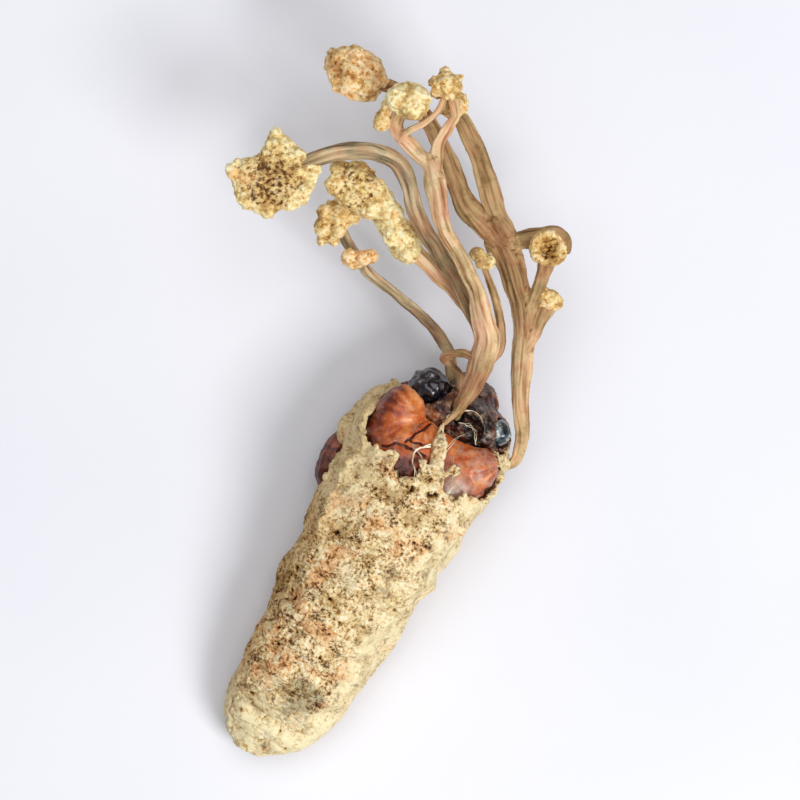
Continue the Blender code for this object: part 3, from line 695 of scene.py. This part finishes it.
tan_look = dried_stalk("dried stalk, tan", [
    (0.2, "#705236"), (0.36, "#AC8862"), (0.5, "#D4B08A"), (0.64, "#E4C6A2"), (0.82, "#F6E2C6")], [
    (0.38, "#CFC9A8"), (0.47, "#F8F2DA"), (0.55, "#FFE8DC"), (0.64, "#F4CCC0")])
grey_look = dried_stalk("dried stalk, grey tan", [
    (0.2, "#50422E"), (0.36, "#80705A"), (0.5, "#AA9678"), (0.64, "#C4B08E"), (0.82, "#E4D4B4")], [
    (0.38, "#D4D2BE"), (0.46, "#F2EEE0"), (0.54, "#FFE6D6"), (0.64, "#F2CCB8")])
brown_look = dried_stalk("dried stalk, brown", [
    (0.2, "#6A5036"), (0.36, "#A88A64"), (0.5, "#CCAE88"), (0.64, "#E0C6A0"), (0.82, "#F2E0BC")], [
    (0.38, "#CCC2A0"), (0.47, "#F8F0DA"), (0.55, "#FBE2D0"), (0.64, "#E2BCA4")])

# The strands of the two largest stalks. Each strand is a route, half widths, half thicknesses and ribs.
TAN_STRANDS = [
    ([(-0.85, 13.3, 9.5), (-0.6, 14.0, 9.5), (-0.45, 14.6, 9.6), (-0.35, 15.3, 10.1), (-0.35, 16.4, 11.0),
      (-0.4, 17.8, 12.1), (-0.7, 19.3, 13.0), (-1.2, 20.9, 13.9), (-2.2, 22.2, 14.5), (-3.2, 23.3, 14.8),
      (-4.5, 24.4, 15.1), (-5.9, 25.3, 15.3), (-7.3, 26.1, 15.4), (-8.7, 27.1, 15.5), (-9.8, 28.4, 15.4),
      (-10.8, 29.7, 15.1), (-12.0, 31.1, 14.9)],
     [0.18, 0.24, 0.34, 0.46, 0.7, 0.93, 1.05, 1.0, 0.88, 0.76, 0.72, 0.68, 0.68, 0.72, 0.8, 0.92, 0.7],
     [0.25, 0.3, 0.36, 0.42, 0.52, 0.58, 0.6, 0.58, 0.52, 0.48, 0.48, 0.46, 0.45, 0.44, 0.42, 0.42, 0.36], 3),
    ([(-0.2, 14.5, 7.4), (-0.35, 15.1, 9.0), (-0.35, 16.0, 10.6)], [0.4, 0.5, 0.5], [0.4, 0.5, 0.5], 3),
    ([(-10.9, 30.3, 15.0), (-12.3, 30.9, 14.8), (-13.5, 31.2, 14.7), (-14.9, 31.6, 14.8),
      (-15.8, 32.3, 15.0), (-15.8, 34.0, 15.5)],
     [0.4, 0.55, 0.6, 0.58, 0.5, 0.45], [0.34, 0.38, 0.36, 0.34, 0.32, 0.32], 2),
    ([(-11.0, 30.2, 15.0), (-11.7, 31.5, 14.8), (-12.1, 32.8, 14.5), (-12.0, 34.1, 14.3),
      (-12.1, 35.2, 14.4), (-13.1, 36.4, 14.9)],
     [0.4, 0.5, 0.46, 0.44, 0.42, 0.4], [0.34, 0.36, 0.34, 0.32, 0.3, 0.3], 2),
    ([(-14.9, 31.5, 14.8), (-14.4, 32.5, 15.7), (-13.7, 33.5, 15.8), (-13.3, 34.7, 15.5),
      (-13.5, 36.2, 15.2)],
     [0.32, 0.3, 0.28, 0.3], [0.26, 0.24, 0.26], 2)]
RIBBON_STRANDS = [
    ([(4.8, 12.1, 4.0), (5.6, 13.4, 4.9), (5.6, 14.4, 5.5), (5.0, 16.0, 6.5), (3.6, 18.1, 7.9),
      (2.2, 20.9, 9.1), (1.1, 23.3, 9.9), (-0.3, 25.1, 10.4), (-1.8, 26.6, 10.9), (-3.1, 27.7, 11.2),
      (-4.5, 28.6, 11.4), (-5.6, 29.1, 11.4)],
     [0.3, 0.45, 0.55, 0.64, 0.76, 0.9, 0.96, 1.05, 1.2, 1.45, 1.55, 1.1],
     [0.35, 0.4, 0.45, 0.5, 0.52, 0.5, 0.5, 0.5, 0.5, 0.5, 0.48, 0.42], 4),
    ([(-4.0, 28.3, 11.3), (-5.6, 28.6, 11.4), (-7.0, 29.1, 11.3), (-8.4, 29.9, 11.2), (-10.0, 31.2, 11.0),
      (-12.0, 32.8, 10.9), (-14.3, 34.2, 11.2), (-16.8, 34.8, 11.6), (-19.8, 34.4, 12.1)],
     [0.8, 0.85, 0.92, 0.88, 0.8, 0.72, 0.62, 0.6, 0.6], [0.45, 0.45, 0.42, 0.4, 0.4, 0.42], 3),
    ([(-3.7, 28.9, 11.4), (-4.9, 29.9, 11.5), (-6.1, 30.9, 11.7), (-7.4, 32.1, 12.0), (-8.7, 33.3, 12.2),
      (-10.1, 34.3, 12.5), (-12.1, 35.5, 13.0)],
     [0.75, 0.75, 0.85, 0.82, 0.76, 0.68, 0.6], [0.45, 0.42, 0.4, 0.38], 3),
    ([(1.4, 23.6, 9.9), (1.0, 24.6, 10.4), (0.6, 25.7, 11.1), (0.4, 26.8, 11.8), (0.15, 27.8, 12.1),
      (-0.2, 29.2, 12.4)],
     [0.3, 0.45, 0.5, 0.5, 0.6, 0.9], [0.3, 0.36, 0.38, 0.4, 0.44, 0.6], 3),
    ([(-3.8, 28.3, 11.4), (-2.7, 29.1, 11.7), (-1.7, 29.9, 12.3), (-0.5, 31.0, 12.7), (0.7, 30.8, 12.8),
      (1.2, 29.9, 12.8)],
     [0.4, 0.65, 0.75, 0.5, 0.4, 0.25], [0.36, 0.4, 0.42, 0.4, 0.36, 0.25], 2),
    ([(2.2, 22.0, 9.4), (2.2, 23.2, 10.0), (2.1, 24.4, 10.7), (1.85, 25.7, 10.9)],
     [0.25, 0.4, 0.45, 0.75], [0.25, 0.34, 0.38, 0.5], 3)]
# Each stalk: its CAD nodes, slot and look, the y where its painted shade starts and where it is darkest, and
# its strands.
STALKS = {
    "tan_stalk": (
        ["stalk_main", "stalk_main_upper", "branch_left", "branch_right", "branch_loop"], "stalk", tan_look,
        (21.0, 18.0), TAN_STRANDS),
    "grey_stalk": (["stalk_grey"], "grey_stalk", grey_look, (28.0, 25.0), [
        ([(-0.9, 19.8, 13.0), (-1.3, 20.5, 13.2), (-2.4, 21.6, 13.2), (-3.9, 22.7, 13.3), (-5.8, 24.0, 13.5),
          (-8.0, 25.1, 13.7), (-9.9, 26.2, 13.9), (-11.4, 27.4, 14.2), (-12.8, 28.8, 14.5),
          (-14.4, 29.6, 14.7), (-15.9, 29.5, 14.9), (-17.8, 28.6, 14.9), (-19.5, 27.3, 14.7),
          (-21.0, 25.4, 14.3)],
         [0.6, 0.6, 0.58, 0.62, 0.7, 0.76, 0.72], [0.42, 0.42, 0.38, 0.38, 0.4, 0.42], 2)]),
    "inner_stalk": (["stalk_inner"], "grey_stalk", tan_look, (23.0, 21.0), [
        ([(-0.6, 19.6, 12.7), (-0.9, 20.4, 12.6), (-2.2, 21.5, 11.9), (-3.8, 22.4, 11.4), (-5.6, 23.1, 11.2),
          (-7.4, 23.6, 11.2), (-10.2, 24.4, 11.3)],
         [0.45, 0.45, 0.48, 0.55, 0.75], [0.35, 0.35, 0.38, 0.4, 0.5], 3)]),
    "back_stalk": (["stalk_back"], "grey_stalk", grey_look, (21.0, 18.0), [
        ([(-1.4, 15.4, 5.2), (-2.9, 18.2, 5.6), (-5.4, 19.7, 6.2), (-8.6, 20.4, 7.0), (-11.8, 21.0, 7.8),
          (-14.4, 22.2, 8.7), (-16.4, 23.5, 9.8)],
         [0.5, 0.5, 0.42, 0.4, 0.45], [0.42, 0.4, 0.36, 0.34, 0.36], 3),
        ([(-12.6, 21.2, 8.0), (-13.2, 21.5, 8.6), (-13.2, 21.6, 9.2)], [0.32, 0.28], [0.28, 0.26], 2)]),
    "curled_stub": (["stub_curl"], "stalk", tan_look, (22.0, 18.0), [
        ([(-0.7, 15.6, 6.5), (-1.4, 17.2, 8.3), (-2.5, 17.7, 9.4), (-3.2, 17.9, 10.5), (-3.1, 18.5, 11.6),
          (-2.2, 19.0, 12.3), (-0.9, 19.1, 12.8)],
         [0.4, 0.38, 0.4, 0.42], [0.36, 0.32, 0.32, 0.34], 3)]),
    "knobbed_twig": (["twig_knobs"], "stalk", tan_look, (25.0, 21.0), [
        ([(-0.3, 18.9, 12.9), (0.2, 21.0, 12.1), (-1.3, 23.2, 11.9), (-3.0, 24.8, 12.3), (-4.4, 26.1, 12.9)],
         [0.34, 0.34, 0.28], [0.3, 0.3, 0.26], 3)]),
    "ribbon_stalk": (
        ["stalk_ribbon", "ribbon_left", "ribbon_right", "twig_cup", "twig_lump"], "brown_stalk", brown_look,
        (22.0, 25.0), RIBBON_STRANDS),
}
for number, (name, (cad_nodes, slot, look, (shade_from, shade_to), strands)) in enumerate(STALKS.items()):
    stalk = new_piece(name)
    all_frames = []
    for k, (route, wide, thick, ribs) in enumerate(strands):
        seed = 10.0 * number + 2.3 * k
        frames = route_frames(route, wide, thick, seed)
        add_stalk(stalk, frames, ribs, seed)
        all_frames += frames
    fused(stalk, STALK_POINTS, 3)
    # Painted shade along part of each stalk, from where it starts to where it is darkest.
    paint(stalk, "painted_shade", lambda point, normal: step_up(shade_from, shade_to, point.y + noise.noise(point)))
    furrow(stalk, keep_grain(stalk, all_frames))
    put_in_place(stalk, look, slot, *cad_nodes)

# The spore heads
# Masses of powdery spores at the tips, pale cream and crumbly like a cauliflower, darker with painted shade
# in their pits.
# Each is grown round the end of its stalk. One is spread out flat like a ruffled flower with a long point.
SPORE_GRAINS = 0.07  # height of a spore head's finest grains, mm
SPORE_POINTS = 0.08  # spacing of a spore head's points


def sown_crumbs(piece, spacing, small, large, seed):
    """Crumbs sown over a piece made of triangles, most of them small, half sunk in its surface."""
    draw = random.Random(seed)
    sown = []
    owed = 0.0
    for face in piece.data.polygons:
        corners = [piece.data.vertices[n].co for n in face.vertices]
        owed += face.area / spacing ** 2
        while owed > 0:
            owed -= 1
            a, b = sorted((draw.random(), draw.random()))
            place = corners[0] * a + corners[1] * (b - a) + corners[2] * (1 - b)
            size = small + (large - small) * draw.random() ** 2
            sunk = place - face.normal * size * draw.uniform(0.2, 0.7)
            sown.append((sunk, (size, size * draw.uniform(0.7, 1.0), size * draw.uniform(0.7, 1.0))))
    return sown


def powder_relief(point, normal):
    """Fine grain over the crumbs, and a few pits, kept for painted shade in the pits and between grains."""
    grain = noise.fractal(point * 3.2, 0.4, 2.2, 3)
    pits = pit(point, 1.5, 0.16, 0.22)
    return SPORE_GRAINS * grain - 0.2 * pits, 0.16 - 0.5 * grain + 0.6 * pits


def sunk_depth(piece, rounds):
    """How far each point lies below its neighbourhood, in mm, found by smoothing a copy of the piece."""
    level = piece.copy()
    level.data = piece.data.copy()
    bpy.context.collection.objects.link(level)
    applied(level, "SMOOTH", factor=0.5, iterations=rounds)
    pairs = zip(piece.data.vertices, level.data.vertices)
    depths = [(flat.co - vert.co).dot(vert.normal) for vert, flat in pairs]
    bpy.data.objects.remove(level)
    return depths


def spore_powder(name, stops):
    """Dried spore powder: quite matt, pale on the crumbs, tan to brown painted shade lower down, uneven tint
    patches.
    """
    look, tree, in_mm = new_look(name, 0.95, 0.2)
    grain = node(tree, "TexNoise", {"Vector": in_mm, "Scale": 3.4, "Detail": 4.0, "Roughness": 0.75})
    hollow = node(tree, "Attribute", attribute_name="hollow")
    both = node(tree, "Math", {0: grain.outputs["Fac"], 1: hollow.outputs["Fac"]}, operation="SUBTRACT")
    spread = node(tree, "MapRange", {"Value": both.outputs[0], "From Min": -0.5, "From Max": 0.65})
    base = node(tree, "ValToRGB", {"Fac": spread.outputs["Result"]}, stops)
    tint = clouded(tree, in_mm, 0.7, 4.0, 0.6, [
        (0.38, "#B48A58"), (0.46, "#F0DCB4"), (0.53, "#FFFFFF"), (0.64, "#F8D2AC")])[1]
    tinted = node(tree, "Mix", {0: 0.8, 6: base.outputs["Color"], 7: tint}, **TINTED)
    fine = node(tree, "TexNoise", {"Vector": in_mm, "Scale": 7.0, "Detail": 3.0, "Roughness": 0.7})
    return finished(look, tinted.outputs[2], fine.outputs["Fac"], 0.8, 0.12)


cream_look = spore_powder("spore powder, cream", [
    (0.1, "#5E442C"), (0.27, "#9A7A54"), (0.42, "#D8BC88"), (0.6, "#F6E2A8"), (0.85, "#FFF8CC")])
tan_powder_look = spore_powder("spore powder, tan", [
    (0.1, "#442C16"), (0.3, "#94703C"), (0.48, "#CCA668"), (0.66, "#E6C88A"), (0.88, "#FBEABC")])
pink_look = spore_powder("spore powder, pinkish", [
    (0.1, "#4A2A18"), (0.3, "#A47442"), (0.5, "#DAAA6E"), (0.7, "#F2D098"), (0.9, "#FFEEC8")])

# Lobes that are grown on to some heads: a centre and radii each.
FLOWER_LOBES = [  # round the flower's ruffled rim, and a heap of crumbs in its middle
    ((-23.7, 26.9, 14.4), (0.5, 0.6, 0.4)), ((-23.3, 26.0, 14.7), (0.7, 0.7, 0.5)),
    ((-21.3, 26.3, 14.7), (0.7, 0.6, 0.45)), ((-19.8, 25.9, 14.5), (0.7, 0.7, 0.45)),
    ((-19.5, 24.3, 14.6), (0.6, 0.8, 0.5)), ((-20.1, 22.7, 14.6), (0.8, 0.7, 0.5)),
    ((-21.3, 21.2, 14.5), (0.6, 0.6, 0.4)), ((-23.2, 21.2, 14.6), (0.7, 0.6, 0.45)),
    ((-25.2, 22.7, 14.5), (0.7, 0.6, 0.4)), ((-24.4, 23.7, 14.8), (0.6, 0.5, 0.4)),
    ((-22.5, 23.9, 14.7), (0.5, 0.5, 0.4)), ((-21.7, 23.2, 14.7), (0.5, 0.4, 0.35))]
LONG_LOBES = [
    ((-9.9, 23.9, 11.8), (0.8, 0.8, 0.8)), ((-10.9, 24.9, 12.0), (1.0, 0.8, 0.8)),
    ((-11.7, 24.5, 12.1), (0.8, 1.0, 0.7)), ((-12.5, 26.2, 12.0), (0.8, 0.7, 0.7)),
    ((-14.3, 25.6, 12.2), (0.9, 1.0, 0.7)), ((-14.8, 27.1, 12.1), (1.1, 0.8, 0.8)),
    ((-15.9, 25.4, 12.0), (0.9, 0.8, 0.7)), ((-16.6, 26.9, 12.4), (1.0, 0.9, 0.6)),
    ((-17.6, 25.8, 12.1), (0.9, 0.9, 0.6)), ((-18.1, 27.0, 11.9), (0.7, 0.7, 0.6))]
CLUMP_LOBES = [
    ((-16.6, 34.0, 16.5), (1.0, 0.9, 0.8)), ((-15.3, 34.9, 16.5), (1.0, 0.8, 0.8)),
    ((-15.2, 33.6, 16.4), (0.8, 0.7, 0.7)), ((-14.6, 34.3, 16.2), (0.6, 0.7, 0.6))]
OUTER_LOBES = [
    ((-22.2, 34.6, 13.0), (0.9, 0.9, 0.7)), ((-21.3, 35.5, 13.0), (0.9, 0.8, 0.7)),
    ((-20.9, 34.2, 13.4), (1.0, 0.9, 0.6)), ((-19.7, 35.2, 13.2), (0.9, 0.8, 0.6)),
    ((-19.2, 34.0, 13.2), (0.9, 0.8, 0.6)), ((-20.6, 33.2, 13.1), (0.9, 0.7, 0.6))]
FLAP_LOBES = [
    ((-16.7, 31.5, 14.9), (0.5, 0.45, 0.4)), ((-16.3, 31.9, 14.85), (0.45, 0.4, 0.3)),
    ((-17.1, 33.2, 15.0), (0.45, 0.6, 0.4))]
LUMP_LOBES = [
    ((1.1, 26.3, 11.2), (0.6, 0.6, 0.5)), ((1.8, 26.5, 11.3), (0.7, 0.5, 0.5)),
    ((2.4, 26.2, 11.1), (0.5, 0.6, 0.5))]
CLUSTER_LOBES = [  # balls, smoother than the other heads
    ((-17.4, 23.5, 10.5), (0.65, 0.65, 0.6)), ((-16.2, 24.0, 10.8), (0.8, 0.75, 0.65)),
    ((-16.9, 22.1, 10.4), (0.6, 0.6, 0.5)), ((-15.7, 22.7, 10.7), (0.65, 0.6, 0.55)),
    ((-15.1, 24.3, 10.5), (0.5, 0.5, 0.45)), ((-15.6, 21.8, 10.1), (0.45, 0.45, 0.4))]
PINK_LOBES = [
    ((-14.0, 21.4, 10.0), (0.6, 0.6, 0.5)), ((-12.9, 21.8, 10.1), (0.65, 0.65, 0.5)),
    ((-13.4, 20.9, 9.7), (0.45, 0.4, 0.4))]
KNOB_LOBES = [
    ((-4.0, 26.4, 13.4), (0.5, 0.5, 0.45)), ((-5.0, 26.6, 13.5), (0.5, 0.45, 0.4)),
    ((-4.5, 25.8, 13.4), (0.4, 0.4, 0.35))]
CUP_CENTRE = Vector((-0.4, 29.6, 12.4))


def cup_lip():
    """A ragged ring of knobs round the cup's hole."""
    knobs = []
    for k in range(14):
        around = 2 * math.pi * k / 14
        size = 0.36 + 0.2 * noise.noise(Vector((k * 1.9, 2.2, 0)))
        place = Vector((math.cos(around) * 1.2, math.sin(around) * 1.15, 0.5))
        knobs.append((CUP_CENTRE + place, (size, size, size * 1.1)))
    return knobs


# Each head: its look, the lobes grown on to it, how far apart its crumbs are with their least and largest
# radii, and where it is darker, with the radius of that and how much darker it is.
SPORE_HEADS = {
    "spore_flower": (cream_look, FLOWER_LOBES, (0.5, 0.16, 0.38), ((-22.2, 23.4, 14.8), 3.4, 0.42)),
    "spore_long": (cream_look, LONG_LOBES, (0.5, 0.14, 0.36), ((-16.6, 26.2, 12.6), 3.6, 0.2)),
    "spore_cluster": (tan_powder_look, CLUSTER_LOBES, (1.6, 0.15, 0.22), None),
    "spore_pink_cups": (pink_look, PINK_LOBES, (1.6, 0.15, 0.22), None),
    "spore_clump": (cream_look, CLUMP_LOBES, (0.5, 0.1, 0.24), None),
    "spore_flap": (tan_powder_look, FLAP_LOBES, (0.5, 0.12, 0.3), None),
    "spore_tuft": (tan_powder_look, [], (0.5, 0.15, 0.4), None),
    "spore_outer": (pink_look, OUTER_LOBES, (0.5, 0.15, 0.35), None),
    "spore_ribbon": (tan_powder_look, [], (0.5, 0.12, 0.35), None),
    "spore_cup": (tan_powder_look, cup_lip(), (0.8, 0.12, 0.25), ((-0.3, 29.6, 12.6), 1.3, 0.45)),
    "spore_lump": (tan_powder_look, LUMP_LOBES, (0.7, 0.12, 0.25), None),
    "spore_knobs": (cream_look, KNOB_LOBES, (1.2, 0.15, 0.22), None),
}
for number, (cad_node, (look, lobes, crumbs, dark)) in enumerate(SPORE_HEADS.items()):
    spore_head = copied(cad_node.replace("spore_", "spore_head_"), cad_node)
    add_blobs(spore_head, lobes)
    fused(spore_head, 2 * SPORE_POINTS, 1)
    applied(spore_head, "TRIANGULATE")
    add_blobs(spore_head, sown_crumbs(spore_head, *crumbs, number))
    fused(spore_head, SPORE_POINTS, 2)
    sunk = sunk_depth(spore_head, 20)
    roughen(spore_head, powder_relief)
    # Painted shade: darker where a point is sunk among the crumbs, and round the given middle of some heads.
    hollow = spore_head.data.attributes["hollow"].data
    for vert, depth in zip(spore_head.data.vertices, sunk):
        painted_shade = 2.6 * depth
        if dark:
            middle, radius, darker = dark
            off_middle = (vert.co - Vector(middle)).length + 0.5 * noise.noise(vert.co * 1.5)
            painted_shade += darker * step_up(radius, 0.35 * radius, off_middle)
        hollow[vert.index].value = min(max(hollow[vert.index].value + painted_shade, 0.0), 1.0)
    put_in_place(spore_head, look, "spores", cad_node)

# The loose threads
# Stray fungus threads, as fine as hair, that lie on the coat, curl over the caves of its collar and cross the
# hollow in the head. They are the same threads as the coat's, but not matted into it.
THREAD_RADIUS = 0.03
THREAD_SIDES = 5
THREAD_PLACES = 18  # places along a thread by the crown
COAT_THREADS = 70


def add_thread(edit, points, radius):
    """Adds a thin closed tube through these points, tapering to its tip."""
    rings = []
    last = len(points) - 1
    for k, point in enumerate(points):
        along = (points[min(k + 1, last)] - points[max(k - 1, 0)]).normalized()
        side = along.orthogonal().normalized()
        up = along.cross(side)
        thin = radius * (1 - 0.7 * k / last)
        ring = []
        for n in range(THREAD_SIDES):
            turn = 2 * math.pi * n / THREAD_SIDES
            ring.append(edit.verts.new(point + (side * math.cos(turn) + up * math.sin(turn)) * thin))
        rings.append(ring)
    skin_tube(edit, rings)


def lying_thread(start, heading, length, steps):
    """Points of a curly thread laid on the coat from a place above it, or none where it misses the coat."""
    points = []
    place = Vector(start)
    for k in range(steps):
        hit = coat_skin.ray_cast(Vector((place.x, place.y, 30)), Vector((0, 0, -1)))[0]
        if hit is None:
            return []
        points.append(hit + Vector((0, 0, 0.02)))
        heading += 1.6 * noise.noise(place * 1.1)
        place += Vector((math.cos(heading), math.sin(heading), 0)) * length / steps
    return points


threads = bmesh.new()
for k in range(COAT_THREADS):
    x = 10.0 * noise.noise(Vector((k * 0.37, 1.1, 0.0)))
    y = -16 + 28 * ((k * 0.618034) % 1.0)
    heading = 9.0 * noise.noise(Vector((k * 0.71, 4.2, 0.0)))
    points = lying_thread((x, y, 0), heading, 0.8 + 1.2 * ((k * 0.37) % 1.0), 8)
    if points and max((b - a).length for a, b in zip(points, points[1:])) < 0.6:
        add_thread(threads, points, THREAD_RADIUS)

# Threads by the crown: how many strands, how far they stray in mm, their radius in mm, and their route.
CROWN_THREADS = [
    (3, 0.2, 0.06, [(-0.9, 11.3, 10.6), (-1.7, 10.4, 11.1), (-1.5, 9.4, 11.3), (-0.8, 8.8, 11.5),
                    (-0.6, 7.9, 11.8)]),
    (3, 0.2, 0.06, [(-3.2, 9.6, 10.8), (-2.9, 8.4, 11.4), (-2.0, 7.6, 11.8), (-0.8, 7.8, 11.8),
                    (-0.1, 8.5, 11.6)]),
    (2, 0.2, 0.05, [(-0.1, 8.3, 11.7), (-0.3, 9.3, 11.4), (-1.1, 10.2, 11.0), (-2.2, 10.6, 10.8)]),
    (3, 0.2, 0.05, [(1.0, 8.0, 11.7), (1.2, 9.0, 11.4), (1.0, 10.0, 11.1), (0.3, 11.0, 10.8)]),
    (2, 0.1, 0.05, [(-0.6, 14.1, 9.8), (0.0, 15.0, 9.8), (0.9, 15.4, 9.7), (1.8, 15.1, 9.3)]),
    (3, 0.3, 0.03, [(2.2, 8.2, 11.5), (2.2, 9.2, 11.1), (1.8, 10.3, 10.8), (1.2, 11.3, 10.6)]),
    (2, 0.3, 0.03, [(0.3, 11.4, 10.6), (0.6, 12.2, 10.2), (0.6, 12.9, 9.8), (1.2, 13.6, 8.6)]),
    (3, 0.25, 0.03, [(2.3, 13.2, 8.7), (1.7, 14.0, 8.4), (0.9, 14.3, 8.3), (0.2, 14.0, 8.8)]),
]
for strands, stray, radius, route in CROWN_THREADS:
    for strand in range(strands):
        spread = Vector((0, 0, strand * 3.1))
        points = []
        for k in range(THREAD_PLACES):
            t = (len(route) - 1) * k / (THREAD_PLACES - 1)
            point = Vector([smooth([place[n] for place in route], t) for n in range(3)])
            points.append(point + stray * noise.noise_vector(point * 1.3 + spread))
        add_thread(threads, points, radius)
thread_piece = new_piece("loose_threads")
threads.to_mesh(thread_piece.data)
threads.free()


def loose_mycelium():
    """Single dried fungus threads: pale cream and a little silky."""
    look, tree, in_mm = new_look("loose mycelium", 0.7, 0.4)
    return finished(look, clouded(tree, in_mm, 0.8, 2.0, 0.5, [(0.4, "#CDB68A"), (0.6, "#FBF3D6")])[1])


put_in_place(thread_piece, loose_mycelium(), "coat")

# The floor, the lights and the camera
# A plain pale table, a broad soft lamp at the lower right, a second broad lamp overhead, and a camera
# straight above, turned as the photograph is, so that the tail points down to the left.
TURN = math.radians(29.2)
AIM = Vector((-4.8, 13.3, 7.0))
VIEW_WIDTH = 64.5  # mm across the picture
LENS = 250.0
SENSOR = 36.0


def plain_table():
    """A matt off-white table top."""
    look, tree, in_mm = new_look("matt off-white table", 0.6, 0.3)
    return finished(look, clouded(tree, in_mm, 0.02, 2.0, 0.5, [(0.3, "#E4E5EC"), (0.7, "#ECECF2")])[1])


bpy.ops.mesh.primitive_plane_add(size=3, location=(0, 0, 0))
table = bpy.context.object
table.name = "table"
table.data.materials.append(plain_table())


def add_lamp(name, place, size, power):
    """A square soft lamp at a place in mm that faces the specimen."""
    lamp = bpy.data.objects.new(name, bpy.data.lights.new(name, "AREA"))
    lamp.data.size = size
    lamp.data.energy = power
    lamp.location = Vector(place) * MM
    lamp.rotation_mode = "QUATERNION"
    lamp.rotation_quaternion = (AIM * MM - lamp.location).to_track_quat("-Z", "Y")
    bpy.context.collection.objects.link(lamp)


add_lamp("key_lamp", (260, -60, 330), 0.18, 1.25)
add_lamp("top_lamp", (-60, 80, 420), 0.35, 0.75)
world = bpy.data.worlds.new("studio")
world.use_nodes = True
background = world.node_tree.nodes["Background"]
background.inputs["Color"].default_value = (0.95, 0.97, 1.0, 1.0)
background.inputs["Strength"].default_value = 0.3
bpy.context.scene.world = world

camera = bpy.data.objects.new("camera", bpy.data.cameras.new("camera"))
camera.data.lens = LENS
camera.data.sensor_width = SENSOR
camera.data.clip_start = 0.01
camera.location = (AIM + Vector((0, 0, VIEW_WIDTH * LENS / SENSOR))) * MM
camera.rotation_euler = (0, 0, TURN)
bpy.context.collection.objects.link(camera)
bpy.context.scene.camera = camera
bpy.context.scene.view_settings.view_transform = "Standard"
